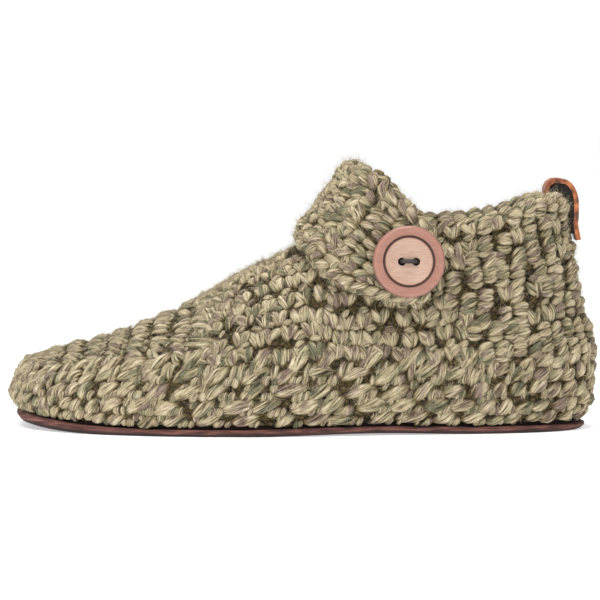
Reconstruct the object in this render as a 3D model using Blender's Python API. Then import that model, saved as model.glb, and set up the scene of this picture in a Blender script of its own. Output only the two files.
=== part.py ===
"""A crocheted slipper bootie for the left foot, in metres, +Z up, toe towards -X, outer side towards -Y.

The wearer's foot goes in at the ankle. A hollow crocheted upper stands on a thin leather outsole, a felt
insole lies inside it, and a crocheted strap crosses the instep from the inner side and is held on the outer
side by a two-hole wooden button. A leather pull loop is sewn at the heel. The origin is on the floor, below
the middle of the whole slipper.
"""

import math

import bmesh
import bpy
import numpy as np
from mathutils import Matrix, Vector

# Main sizes of the slipper, over the outside of the crochet.
LENGTH = 0.252
BALL_WIDTH = 0.097
HEEL_WIDTH = 0.071
THROAT_HEIGHT = 0.0785  # top of the vamp where the strap crosses it
STRAP_TOP_HEIGHT = 0.1128  # front of the ankle under the strap's upper edge
COLLAR_HEIGHT = 0.0885  # edge of the collar at the sides
HEEL_HEIGHT = 0.0990  # edge of the collar at the heel
WIDEST_HEIGHT = 0.0146  # where the crochet bulges furthest over the sole
FEATHER_INSET = 0.0048  # how far the crochet is drawn in to its seam with the sole

# Thicknesses.
UPPER_WALL = 0.0050
SOLE_THICKNESS = 0.0030
INSOLE_THICKNESS = 0.0030
STRAP_THICKNESS = 0.0056
LOOP_THICKNESS = 0.0020

# Sole. The shares are of the length from the toe.
TOE_SPRING = 0.0056
TOE_SPRING_ALONG = 0.230  # the toe spring starts here
ARCH_LIFT = 0.0009
ARCH_START_ALONG = 0.430
ARCH_END_ALONG = 0.800
SOLE_MARGIN = 0.0010  # leather standing out past the seam
SOLE_EDGE_ROUND = 0.0006

# Rolled edge of the collar behind the strap, and raised border of the strap.
COLLAR_ROLL = 0.0012
COLLAR_ROLL_HEIGHT = 0.0060
COLLAR_ROLL_ALONG = 0.775  # the roll starts here, as a share of the length from the toe
COLLAR_ROLL_FADE = 0.050  # and is full so much further back
COLLAR_ROLL_RINGS = (0.72, 0.45, 0.18, 0.00)  # shares of the roll's height below the edge
COLLAR_RIM = 0.25  # rise of the rim's middle over its edges, as a share of the wall
STRAP_BORDER = 0.0013
STRAP_EDGE_ROUND = 0.0022
STRAP_END_THINNING = 0.35  # share of its thickness that the strap loses at its two ends

# Wooden button.
BUTTON_DIAMETER = 0.0300
BUTTON_THICKNESS = 0.0042
BUTTON_RING_DIAMETER = 0.0208
BUTTON_RING_WIDTH = 0.0010
BUTTON_RING_DEPTH = 0.0008
BUTTON_DISH_DEPTH = 0.0011
BUTTON_EDGE_ROUND = 0.0013
BUTTON_HOLE_DIAMETER = 0.0034
BUTTON_HOLE_SPACING = 0.0059
BUTTON_ALONG = 0.6746  # share of the length from the toe
BUTTON_HEIGHT = 0.0717
THREAD_DIAMETER = 0.0018
THREAD_BEND = 1.2  # radius of the thread's bends, as a share of its own radius

# Hollow of the button's face. out: share of the ring's radius. down: share of the dish's depth.
DISH_COLUMNS = ("out", "down")
DISH = (
    (0.72, 0.45),
    (0.45, 0.85),
    (0.00, 1.00),
)

# Leather pull loop.
LOOP_WIDTH = 0.0150
LOOP_RISE = 0.0072  # top of the loop's middle line over the collar's edge
LOOP_TUCK = 0.0130  # length sewn down inside the heel
LOOP_TUCK_TOP = 0.0010  # where that length ends, below the collar's edge

CLEARANCE = 0.0003  # between pieces that lie against each other
STRAP_CLEARANCE = 0.0006  # between the strap and the crochet under it

COLUMNS_A_SIDE = 36
STRAP_STEPS = 36
STRAP_STEPS_ACROSS = 10
STRAP_BORDER_STEPS = 2.2  # steps across from the strap's edge to the foot of its raised border
ROUND_STEPS = 40
CORNER_STEPS = 4
LOOP_STEPS = 30
TUCK_STEPS = 4
THREAD_SIDES = 8
RIDGE_FINE_STEPS = 4000
HEEL_FACE_TURN = 0.5  # radians each side of the heel's middle that the loop may cover
SMOOTH_ANGLE = math.radians(50)
BUTTON_SMOOTH_ANGLE = math.radians(35)

TOE_X = -LENGTH / 2
FLOOR_OF_UPPER = SOLE_THICKNESS + CLEARANCE

# Plain finish of each material: name, linear red, green and blue, roughness.
FINISHES = (
    ("heathered_wool_yarn", 0.36, 0.33, 0.20, 0.90),
    ("sole_suede", 0.27, 0.09, 0.06, 0.80),
    ("insole_felt", 0.30, 0.27, 0.20, 0.95),
    ("button_wood", 0.66, 0.38, 0.26, 0.42),
    ("button_thread", 0.02, 0.015, 0.012, 0.70),
    ("loop_leather", 0.52, 0.17, 0.05, 0.50),
)

# Plan of the widest line. along: share of the length from the toe. ball, heel: shares of half the ball
# width and of half the heel width that add up to half the width there. bend: how far the middle lies
# towards the inner side, as a share of the ball width.
PLAN_COLUMNS = ("along", "ball", "heel", "bend")
PLAN = (
    (0.000, 1.000, 0.000, 0.100),
    (0.120, 1.000, 0.000, 0.075),
    (0.220, 1.000, 0.000, 0.040),
    (0.320, 1.000, 0.000, 0.010),
    (0.420, 0.980, 0.000, -0.012),
    (0.500, 0.905, 0.000, -0.026),
    (0.580, 0.600, 0.310, -0.030),
    (0.680, 0.200, 0.770, -0.022),
    (0.780, 0.000, 1.000, -0.008),
    (0.880, 0.000, 1.000, 0.000),
    (1.000, 0.000, 1.000, 0.000),
)
TOE_ROUND_ALONG = 0.320  # the toe's curve in plan starts here
TOE_ROUND_POWER = 2.35
HEEL_ROUND_ALONG = 0.735
HEEL_ROUND_POWER = 2.3
ARCH_POWER = 2.2  # roundness of the section over the foot

# Ridge of the vamp. along: share of the length from the toe. height: share of the throat's height.
VAMP_COLUMNS = ("along", "height")
VAMP = (
    (0.0000, 0.186),
    (0.0040, 0.235),
    (0.0115, 0.292),
    (0.0225, 0.345),
    (0.0440, 0.392),
    (0.0800, 0.432),
    (0.1170, 0.460),
    (0.1560, 0.492),
    (0.2140, 0.556),
    (0.2790, 0.640),
    (0.3390, 0.733),
    (0.4100, 0.874),
    (0.4600, 0.945),
    (0.4940, 1.000),
)

# Front of the ankle, under the strap. along: share of the length from the toe. rise: share of the way
# from the throat's height to the strap's upper edge.
SHIN_COLUMNS = ("along", "rise")
SHIN = (
    (0.5110, 0.102),
    (0.5250, 0.233),
    (0.5380, 0.379),
    (0.5510, 0.510),
    (0.5670, 0.671),
    (0.5850, 0.831),
    (0.6030, 1.000),
    (0.8000, 2.700),
    (1.0000, 4.400),
)

# Back of the heel. height: share of the heel's height. forward: distance in front of the rearmost point,
# as a share of the length.
BACK_COLUMNS = ("height", "forward")
BACK = (
    (0.000, 0.0080),
    (0.100, 0.0040),
    (0.220, 0.0005),
    (0.310, 0.0000),
    (0.390, 0.0040),
    (0.470, 0.0135),
    (0.550, 0.0240),
    (0.640, 0.0320),
    (0.720, 0.0350),
    (0.790, 0.0400),
    (0.860, 0.0460),
    (0.930, 0.0500),
    (1.000, 0.0560),
    (1.200, 0.0800),
)

# Edge of the collar. along: share of the length from the toe. rise: share of the way from the height of
# the collar's sides to that of the heel.
COLLAR_COLUMNS = ("along", "rise")
COLLAR = (
    (0.500, 0.00),
    (0.640, 0.00),
    (0.720, 0.04),
    (0.780, 0.12),
    (0.840, 0.42),
    (0.900, 0.90),
    (0.940, 1.00),
    (1.000, 1.00),
)

# Rings of the upper from its seam with the sole to the collar, as shares of the wall's height. They lie
# closer where the toe turns over into the flat of the vamp.
RINGS = (
    0.000, 0.034, 0.079, 0.134, 0.190, 0.235, 0.270, 0.302, 0.335, 0.374,
    0.417, 0.462, 0.512, 0.568, 0.630, 0.700, 0.774, 0.820, 0.860, 0.895, 0.925,
)

# Strap, from its sewn root on the inner side over the front of the ankle to its buttoned end. side: -1
# inner, 0 on the ridge, 1 outer. front_along, rear_along: shares of the length from the toe of its two
# edges. front_height, rear_height: shares of the strap's upper height.
STRAP_COLUMNS = ("side", "front_along", "front_height", "rear_along", "rear_height")
STRAP = (
    (-1, 0.724, 0.520, 0.762, 0.600),
    (-1, 0.706, 0.494, 0.764, 0.648),
    (-1, 0.650, 0.500, 0.742, 0.722),
    (-1, 0.600, 0.525, 0.710, 0.800),
    (-1, 0.560, 0.560, 0.680, 0.868),
    (-1, 0.526, 0.612, 0.653, 0.926),
    (-1, 0.508, 0.668, 0.628, 0.970),
    (0, 0.500, 0.706, 0.603, 0.998),
    (1, 0.508, 0.664, 0.628, 0.964),
    (1, 0.528, 0.600, 0.655, 0.915),
    (1, 0.568, 0.546, 0.682, 0.860),
    (1, 0.618, 0.508, 0.708, 0.796),
    (1, 0.664, 0.492, 0.726, 0.716),
    (1, 0.694, 0.500, 0.728, 0.642),
    (1, 0.706, 0.524, 0.722, 0.594),
)

# Pull loop, from its end inside the heel over the collar to its end on the back of the heel. back:
# distance behind the collar's back edge, as a share of the loop's depth. up: height over the lower end,
# as a share of the loop's height.
LOOP_DEPTH = 0.0145
LOOP_HEIGHT = 0.0256
LOOP_COLUMNS = ("back", "up")
LOOP_OVER = (
    (-0.52, 0.74),
    (-0.49, 0.90),
    (-0.26, 0.99),
    (0.03, 0.97),
    (0.27, 0.83),
    (0.36, 0.62),
    (0.36, 0.40),
    (0.32, 0.20),
    (0.38, 0.00),
)


def column(table, columns, name):
    """One named column of a table, as an array."""
    place = columns.index(name)
    return np.array([row[place] for row in table], dtype=float)


def smooth(at, knots, values):
    """A smooth curve through the knots that never overshoots them, held level past its ends."""
    at = np.clip(np.asarray(at, dtype=float), knots[0], knots[-1])
    steps = np.diff(knots)
    rates = np.diff(values) / steps
    slopes = np.empty(len(knots))
    slopes[0] = rates[0]
    slopes[-1] = rates[-1]
    before = rates[:-1]
    after = rates[1:]
    weight_before = 2 * steps[1:] + steps[:-1]
    weight_after = steps[1:] + 2 * steps[:-1]
    turning = before * after <= 0
    safe_before = np.where(turning, 1.0, before)
    safe_after = np.where(turning, 1.0, after)
    mean = (weight_before + weight_after) / (weight_before / safe_before + weight_after / safe_after)
    slopes[1:-1] = np.where(turning, 0.0, mean)
    cell = np.clip(np.searchsorted(knots, at, side="right") - 1, 0, len(steps) - 1)
    step = steps[cell]
    share = (at - knots[cell]) / step
    rest = 1 - share
    return (
        values[cell] * (1 + 2 * share) * rest**2
        + values[cell + 1] * (3 - 2 * share) * share**2
        + slopes[cell] * step * share * rest**2
        - slopes[cell + 1] * step * share**2 * rest
    )


PLAN_X = TOE_X + LENGTH * column(PLAN, PLAN_COLUMNS, "along")
PLAN_HALF = (
    column(PLAN, PLAN_COLUMNS, "ball") * BALL_WIDTH + column(PLAN, PLAN_COLUMNS, "heel") * HEEL_WIDTH
) / 2
PLAN_BEND = column(PLAN, PLAN_COLUMNS, "bend") * BALL_WIDTH
RIDGE_X = TOE_X + LENGTH * np.concatenate(
    [column(VAMP, VAMP_COLUMNS, "along"), column(SHIN, SHIN_COLUMNS, "along")]
)
VAMP_SHARE = column(VAMP, VAMP_COLUMNS, "height")
TIP_SHARE = VAMP_SHARE[0]
RIDGE_Z = np.concatenate(
    [
        WIDEST_HEIGHT + (THROAT_HEIGHT - WIDEST_HEIGHT) * (VAMP_SHARE - TIP_SHARE) / (1 - TIP_SHARE),
        THROAT_HEIGHT + (STRAP_TOP_HEIGHT - THROAT_HEIGHT) * column(SHIN, SHIN_COLUMNS, "rise"),
    ]
)
# The ridge is read both ways, height from place and place from height, so both use one fine line.
RIDGE_FINE_Z = np.linspace(RIDGE_Z[0], RIDGE_Z[-1], RIDGE_FINE_STEPS)
RIDGE_FINE_X = smooth(RIDGE_FINE_Z, RIDGE_Z, RIDGE_X)
BACK_Z = HEEL_HEIGHT * column(BACK, BACK_COLUMNS, "height")
BACK_X = TOE_X + LENGTH * (1 - column(BACK, BACK_COLUMNS, "forward"))
COLLAR_X = TOE_X + LENGTH * column(COLLAR, COLLAR_COLUMNS, "along")
COLLAR_Z = COLLAR_HEIGHT + (HEEL_HEIGHT - COLLAR_HEIGHT) * column(COLLAR, COLLAR_COLUMNS, "rise")
SPRING_X = TOE_X + TOE_SPRING_ALONG * LENGTH
ARCH_START_X = TOE_X + ARCH_START_ALONG * LENGTH
ARCH_END_X = TOE_X + ARCH_END_ALONG * LENGTH


def sole_lift(x):
    """How far the underside of the sole is off the floor: toe spring in front, a slight arch at the waist."""
    toe = np.clip((SPRING_X - x) / (SPRING_X - TOE_X), 0, 1)
    waist = np.clip((x - ARCH_START_X) / (ARCH_END_X - ARCH_START_X), 0, 1)
    return TOE_SPRING * toe**2 + ARCH_LIFT * np.sin(math.pi * waist) ** 2


def rounded(share, power):
    """A quarter of a superellipse: 1 at share 0, falling to 0 at share 1."""
    return (1 - np.clip(share, 0, 1) ** power) ** (1 / power)


def half_width(x, z):
    """Half the width of the slipper's outer form, x along it and z up it."""
    plan = smooth(x, PLAN_X, PLAN_HALF)
    toe_start = TOE_X + TOE_ROUND_ALONG * LENGTH
    toe = rounded((toe_start - x) / (toe_start - TOE_X), TOE_ROUND_POWER)
    ridge = np.maximum(np.interp(x, RIDGE_FINE_X, RIDGE_FINE_Z) - WIDEST_HEIGHT, 1e-5)
    over = rounded((z - WIDEST_HEIGHT) / ridge, ARCH_POWER)
    heel_start = TOE_X + HEEL_ROUND_ALONG * LENGTH
    back = smooth(z, BACK_Z, BACK_X)
    heel = rounded((x - heel_start) / (back - heel_start), HEEL_ROUND_POWER)
    return plan * toe * over * heel


def slice_ends(z):
    """Front and back of the form at a height."""
    return np.interp(z, RIDGE_FINE_Z, RIDGE_FINE_X), smooth(z, BACK_Z, BACK_X)


def plan_point(turn, z):
    """Outer form before it is drawn in at the sole. turn: 0 at the toe, pi at the heel, below 0 on the inner side."""
    front, back = slice_ends(z)
    x = (front + back) / 2 - (back - front) / 2 * np.cos(turn)
    y = smooth(x, PLAN_X, PLAN_BEND) - np.sign(np.sin(turn)) * half_width(x, z)
    return x, y


def form_point(turn, z):
    """Outer form of the crochet, drawn in towards its seam with the sole."""
    turn, z = np.broadcast_arrays(np.asarray(turn, dtype=float), np.asarray(z, dtype=float))
    step = 0.01
    x, y = plan_point(turn, z)
    ahead_x, ahead_y = plan_point(turn + step, z)
    behind_x, behind_y = plan_point(turn - step, z)
    run_x = ahead_x - behind_x
    run_y = ahead_y - behind_y
    size = np.maximum(np.hypot(run_x, run_y), 1e-9)
    seam = FLOOR_OF_UPPER + sole_lift(x)
    drawn = FEATHER_INSET * np.clip((WIDEST_HEIGHT - z) / (WIDEST_HEIGHT - seam), 0, 1) ** 2
    return np.stack([x - drawn * run_y / size, y + drawn * run_x / size, z], axis=-1)


def form_normal(turn, z):
    """Outward normal of the outer form."""
    turn, z = np.broadcast_arrays(np.asarray(turn, dtype=float), np.asarray(z, dtype=float))
    step_turn = 0.03
    step_z = 0.0008
    around = form_point(turn + step_turn, z) - form_point(turn - step_turn, z)
    upward = form_point(turn, z + step_z) - form_point(turn, z - step_z)
    normal = np.cross(around, upward)
    return normal / np.linalg.norm(normal, axis=-1, keepdims=True)


def turn_at(x, z, side):
    """The turn at which the form passes x at height z, below 0 on the inner side."""
    front, back = slice_ends(z)
    cosine = np.clip(((front + back) / 2 - x) / ((back - front) / 2), -1, 1)
    return side * np.arccos(cosine)


def collar_edge(turn):
    """Height of the collar's edge."""
    front, back = slice_ends((COLLAR_HEIGHT + HEEL_HEIGHT) / 2)
    x = (front + back) / 2 - (back - front) / 2 * np.cos(turn)
    return smooth(x, COLLAR_X, COLLAR_Z), x


def ring_turns():
    """The turns of the columns, once round from the inner side of the toe."""
    return math.pi * np.arange(-COLUMNS_A_SIDE + 1, COLUMNS_A_SIDE + 1) / COLUMNS_A_SIDE


def seam_height(turns):
    """Height of the upper's lower edge, which follows the sole."""
    seam = form_point(turns, FLOOR_OF_UPPER)
    return FLOOR_OF_UPPER + sole_lift(seam[..., 0])


def new_object(name, bm, material, smooth_angle=SMOOTH_ANGLE):
    """Puts the finished mesh in the scene with its material, shaded smooth up to an angle."""
    bmesh.ops.recalc_face_normals(bm, faces=bm.faces)
    mesh = bpy.data.meshes.new(name)
    bm.to_mesh(mesh)
    bm.free()
    mesh.shade_smooth()
    mesh.set_sharp_from_angle(angle=smooth_angle)
    mesh.materials.append(material)
    thing = bpy.data.objects.new(name, mesh)
    bpy.context.collection.objects.link(thing)
    return thing


def new_material(name, colour, roughness):
    """A plain finish: colour is linear red, green and blue."""
    material = bpy.data.materials.new(name)
    material.use_nodes = True
    shader = material.node_tree.nodes["Principled BSDF"]
    shader.inputs["Base Color"].default_value = (*colour, 1.0)
    shader.inputs["Roughness"].default_value = roughness
    shader.inputs["Metallic"].default_value = 0.0
    return material


def add_rings(bm, rings):
    """One row of vertices for each ring of points."""
    return [[bm.verts.new(point) for point in ring] for ring in rings]


def join_rings(bm, rows, around=True):
    """Faces between each row of vertices and the next."""
    for lower, upper in zip(rows[:-1], rows[1:]):
        count = len(lower)
        for place in range(count if around else count - 1):
            after = (place + 1) % count
            bm.faces.new((lower[place], lower[after], upper[after], upper[place]))


def cap_plate(bm, ring):
    """Closes a ring of the sole's plan by strips straight across, toe to heel."""
    middle = COLUMNS_A_SIDE - 1
    for place in range(COLUMNS_A_SIDE):
        inner = ring[middle - place]
        outer = ring[middle + place]
        inner_next = ring[middle - place - 1] if place + 1 < COLUMNS_A_SIDE else ring[-1]
        outer_next = ring[middle + place + 1]
        corners = [inner, inner_next, outer_next, outer]
        kept = [corner for index, corner in enumerate(corners) if corner not in corners[:index]]
        bm.faces.new(kept)


def upper_rings():
    """Rings of the upper's outside, inside and rolled edge, each with the wall between them."""
    turns = ring_turns()
    seam = seam_height(turns)
    edge, edge_x = collar_edge(turns)
    roll_x = TOE_X + COLLAR_ROLL_ALONG * LENGTH
    fade = np.clip((edge_x - roll_x) / (COLLAR_ROLL_FADE * LENGTH), 0, 1)
    outside = []
    inside = []
    for share in RINGS:
        z = seam + (edge - seam) * share
        points = form_point(turns, z)
        normals = form_normal(turns, z)
        outside.append(points)
        if share == 0:
            flat = normals * (1, 1, 0)
            flat /= np.linalg.norm(flat, axis=-1, keepdims=True)
            inside.append(points - UPPER_WALL * flat)
        else:
            inside.append(points - UPPER_WALL * normals)
    for share in COLLAR_ROLL_RINGS:
        z = edge - COLLAR_ROLL_HEIGHT * share
        roll = COLLAR_ROLL * fade * math.sqrt(1 - (2 * share - 1) ** 2)
        outside.append(form_point(turns, z) + form_normal(turns, z) * roll[:, None])
    middle = form_point(turns, edge) - UPPER_WALL / 2 * form_normal(turns, edge)
    rim = middle + (0, 0, UPPER_WALL * COLLAR_RIM)
    lip = form_point(turns, edge) - UPPER_WALL * form_normal(turns, edge)
    return outside, rim, lip, inside


def make_upper(material):
    """Crocheted upper: one hollow shell, open at the collar and underneath."""
    outside, rim, lip, inside = upper_rings()
    bm = bmesh.new()
    rows = add_rings(bm, outside + [rim, lip] + inside[::-1])
    join_rings(bm, rows + [rows[0]])
    return new_object("upper", bm, material)


def plate_outline(inset):
    """Plan of the upper's lower edge, moved in by a distance, and the lift of the sole below it."""
    turns = ring_turns()
    seam = seam_height(turns)
    flat = form_normal(turns, seam) * (1, 1, 0)
    flat /= np.linalg.norm(flat, axis=-1, keepdims=True)
    points = form_point(turns, seam) - inset * flat
    return points[:, :2], flat[:, :2], sole_lift(points[:, 0])


def make_plate(name, material, inset, bottom, thickness, edge_round):
    """A flat piece of the sole that follows the toe spring: its rim is rounded top and bottom."""
    plan, outward, lift = plate_outline(inset)
    heights = (0, edge_round, thickness - edge_round, thickness)
    insets = (edge_round, 0, 0, edge_round)
    rings = []
    for height, drawn in zip(heights, insets):
        z = bottom + lift + height
        rings.append(np.column_stack([plan - outward * drawn, z]))
    bm = bmesh.new()
    rows = add_rings(bm, rings)
    join_rings(bm, rows)
    cap_plate(bm, rows[0])
    cap_plate(bm, rows[-1])
    return new_object(name, bm, material)


def strap_table():
    """Turn and height of the strap's two edges at each row of its table."""
    side = column(STRAP, STRAP_COLUMNS, "side")
    edges = []
    for edge in ("front", "rear"):
        x = TOE_X + LENGTH * column(STRAP, STRAP_COLUMNS, edge + "_along")
        z = STRAP_TOP_HEIGHT * column(STRAP, STRAP_COLUMNS, edge + "_height")
        edges.append((turn_at(x, z, side), z))
    return edges


def strap_place(along, across):
    """Turn and height on the form. along: 0 at the root, 1 at the buttoned end. across: 0 front, 1 rear."""
    rows = np.linspace(0, 1, len(STRAP))
    (front_turn, front_z), (rear_turn, rear_z) = strap_table()
    turn = (1 - across) * smooth(along, rows, front_turn) + across * smooth(along, rows, rear_turn)
    z = (1 - across) * smooth(along, rows, front_z) + across * smooth(along, rows, rear_z)
    return turn, z


def strap_surface(along, across, off):
    """A point of the strap, so far off the outer form."""
    turn, z = strap_place(along, across)
    return form_point(turn, z) + form_normal(turn, z) * off


def make_strap(material):
    """Instep strap with a raised border along its two edges."""
    alongs = np.linspace(0, 1, STRAP_STEPS + 1)
    acrosses = np.linspace(0, 1, STRAP_STEPS_ACROSS + 1)
    bm = bmesh.new()
    sections = []
    for along in alongs:
        end = min(along, 1 - along) * STRAP_STEPS
        thin = 1 - STRAP_END_THINNING * max(0.0, 1 - end)
        outer = []
        for place, across in enumerate(acrosses):
            edge = place in (0, STRAP_STEPS_ACROSS)
            border = STRAP_BORDER if place in (1, STRAP_STEPS_ACROSS - 1) else 0
            height = STRAP_THICKNESS - STRAP_EDGE_ROUND if edge else STRAP_THICKNESS + border
            outer.append(strap_surface(along, across, STRAP_CLEARANCE + height * thin))
        inner = [strap_surface(along, across, STRAP_CLEARANCE) for across in acrosses[::-1]]
        sections.append(outer + inner)
    rows = add_rings(bm, sections)
    join_rings(bm, rows)
    for row in (rows[0], rows[-1]):
        count = len(row)
        for place in range(STRAP_STEPS_ACROSS):
            bm.faces.new((row[place], row[place + 1], row[count - 2 - place], row[count - 1 - place]))
    return new_object("instep_strap", bm, material)


def button_frame():
    """Where the button lies on the strap: the middle of its back, and its axes with Z pointing outwards."""
    x = TOE_X + BUTTON_ALONG * LENGTH
    turn = turn_at(x, BUTTON_HEIGHT, 1)
    normal = form_normal(turn, BUTTON_HEIGHT)
    middle = form_point(turn, BUTTON_HEIGHT) + normal * (STRAP_CLEARANCE + STRAP_THICKNESS)
    alongs, acrosses = np.meshgrid(
        np.linspace(0.5, 1, STRAP_STEPS + 4), np.linspace(0, 1, 2 * STRAP_STEPS_ACROSS + 4)
    )
    border_share = STRAP_BORDER_STEPS / STRAP_STEPS_ACROSS
    reach = []
    for off in (STRAP_THICKNESS, STRAP_THICKNESS + STRAP_BORDER):
        points = strap_surface(alongs, acrosses, STRAP_CLEARANCE + off) - middle
        proud = points @ normal
        beside = np.linalg.norm(points - proud[..., None] * normal, axis=-1)
        border = (acrosses < border_share) | (acrosses > 1 - border_share)
        near = beside < BUTTON_DIAMETER / 2 + CLEARANCE
        counted = near & border if off > STRAP_THICKNESS else near
        reach.append(proud[counted].max() if counted.any() else 0)
    outward = Vector(normal)
    level = Vector((1, 0, 0)) - outward * outward.x
    level.normalize()
    upright = outward.cross(level)
    axes = Matrix((level, upright, outward)).transposed().to_4x4()
    axes.translation = Vector(middle) + outward * (max(reach) + CLEARANCE)
    return axes


def button_profile():
    """Half section of the button from the middle of its back to the middle of its face."""
    radius = BUTTON_DIAMETER / 2
    ring = BUTTON_RING_DIAMETER / 2
    top = BUTTON_THICKNESS
    floor = top - BUTTON_RING_DEPTH
    corner = [math.pi / 2 * step / CORNER_STEPS for step in range(CORNER_STEPS + 1)]
    profile = [(0, 0), (radius - BUTTON_EDGE_ROUND, 0)]
    for angle in corner[1:]:
        out = radius - BUTTON_EDGE_ROUND + BUTTON_EDGE_ROUND * math.sin(angle)
        profile.append((out, BUTTON_EDGE_ROUND - BUTTON_EDGE_ROUND * math.cos(angle)))
    for angle in corner:
        out = radius - BUTTON_EDGE_ROUND + BUTTON_EDGE_ROUND * math.cos(angle)
        profile.append((out, top - BUTTON_EDGE_ROUND + BUTTON_EDGE_ROUND * math.sin(angle)))
    profile.append((ring + BUTTON_RING_WIDTH / 2, top))
    profile.append((ring + BUTTON_RING_WIDTH / 4, floor))
    profile.append((ring - BUTTON_RING_WIDTH / 4, floor))
    dish = top - BUTTON_RING_DEPTH / 3
    profile.append((ring - BUTTON_RING_WIDTH / 2, dish))
    for out, down in zip(column(DISH, DISH_COLUMNS, "out"), column(DISH, DISH_COLUMNS, "down")):
        profile.append((ring * out, dish - BUTTON_DISH_DEPTH * down))
    return profile, dish - BUTTON_DISH_DEPTH


def make_button(material):
    """Turned wooden button with a dished face, a ring groove and two holes."""
    profile, face = button_profile()
    bm = bmesh.new()
    middle_back = bm.verts.new((0, 0, 0))
    middle_face = bm.verts.new((0, 0, face))
    rows = []
    for out, up in profile[1:-1]:
        angles = 2 * math.pi * np.arange(ROUND_STEPS) / ROUND_STEPS
        ring = [(out * math.cos(angle), out * math.sin(angle), up) for angle in angles]
        rows.append([bm.verts.new(point) for point in ring])
    join_rings(bm, rows)
    for place in range(ROUND_STEPS):
        after = (place + 1) % ROUND_STEPS
        bm.faces.new((middle_back, rows[0][after], rows[0][place]))
        bm.faces.new((middle_face, rows[-1][place], rows[-1][after]))
    button = new_object("button", bm, material, BUTTON_SMOOTH_ANGLE)
    button.matrix_world = button_frame()
    for side in (-1, 1):
        drill = bmesh.new()
        bmesh.ops.create_cone(
            drill,
            cap_ends=True,
            segments=ROUND_STEPS // 2,
            radius1=BUTTON_HOLE_DIAMETER / 2,
            radius2=BUTTON_HOLE_DIAMETER / 2,
            depth=BUTTON_THICKNESS * 3,
        )
        bmesh.ops.translate(drill, verts=drill.verts, vec=(side * BUTTON_HOLE_SPACING / 2, 0, 0))
        cutter = new_object("button_drill_" + ("front" if side < 0 else "rear"), drill, material)
        cutter.matrix_world = button_frame()
        cutter.hide_render = True
        cutter.display_type = "WIRE"
        cut = button.modifiers.new("hole", "BOOLEAN")
        cut.operation = "DIFFERENCE"
        cut.solver = "EXACT"
        cut.object = cutter
    return button


def tube(name, points, radius, material, sides=THREAD_SIDES):
    """A round thread along points, with closed ends."""
    points = [Vector(point) for point in points]
    bm = bmesh.new()
    rows = []
    for place, point in enumerate(points):
        before = points[max(place - 1, 0)]
        after = points[min(place + 1, len(points) - 1)]
        run = (after - before).normalized()
        sideways = Vector((0, 1, 0))
        other = run.cross(sideways).normalized()
        ring = []
        for step in range(sides):
            angle = 2 * math.pi * step / sides
            ring.append(point + radius * (math.cos(angle) * sideways + math.sin(angle) * other))
        rows.append([bm.verts.new(corner) for corner in ring])
    join_rings(bm, rows)
    bm.faces.new(rows[0])
    bm.faces.new(rows[-1])
    return new_object(name, bm, material)


def make_thread(material):
    """Stitch that holds the button: up one hole, across the dish and down the other."""
    radius = THREAD_DIAMETER / 2
    face = button_profile()[1]
    bend = radius * THREAD_BEND
    half = BUTTON_HOLE_SPACING / 2
    top = face + CLEARANCE * 2 + radius
    route = [(-half, 0, 0), (-half, 0, top - bend)]
    for angle in (30, 60):
        turn = math.radians(angle)
        route.append((-half + bend * (1 - math.cos(turn)), 0, top - bend + bend * math.sin(turn)))
    route.append((-half + bend, 0, top))
    mirrored = [(-x, y, z) for x, y, z in route[::-1]]
    thread = tube("button_thread", route + mirrored, radius, material)
    thread.matrix_world = button_frame()
    return thread


def heel_face(z, off):
    """The x of the heel's wall across the loop's width, so far off the outer form: foremost and rearmost."""
    turns = np.linspace(math.pi - HEEL_FACE_TURN, math.pi + HEEL_FACE_TURN, ROUND_STEPS + 1)
    points = form_point(turns, z) + form_normal(turns, z) * off
    across = points[np.abs(points[:, 1]) <= LOOP_WIDTH / 2 + CLEARANCE, 0]
    return across.min(), across.max()


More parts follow.
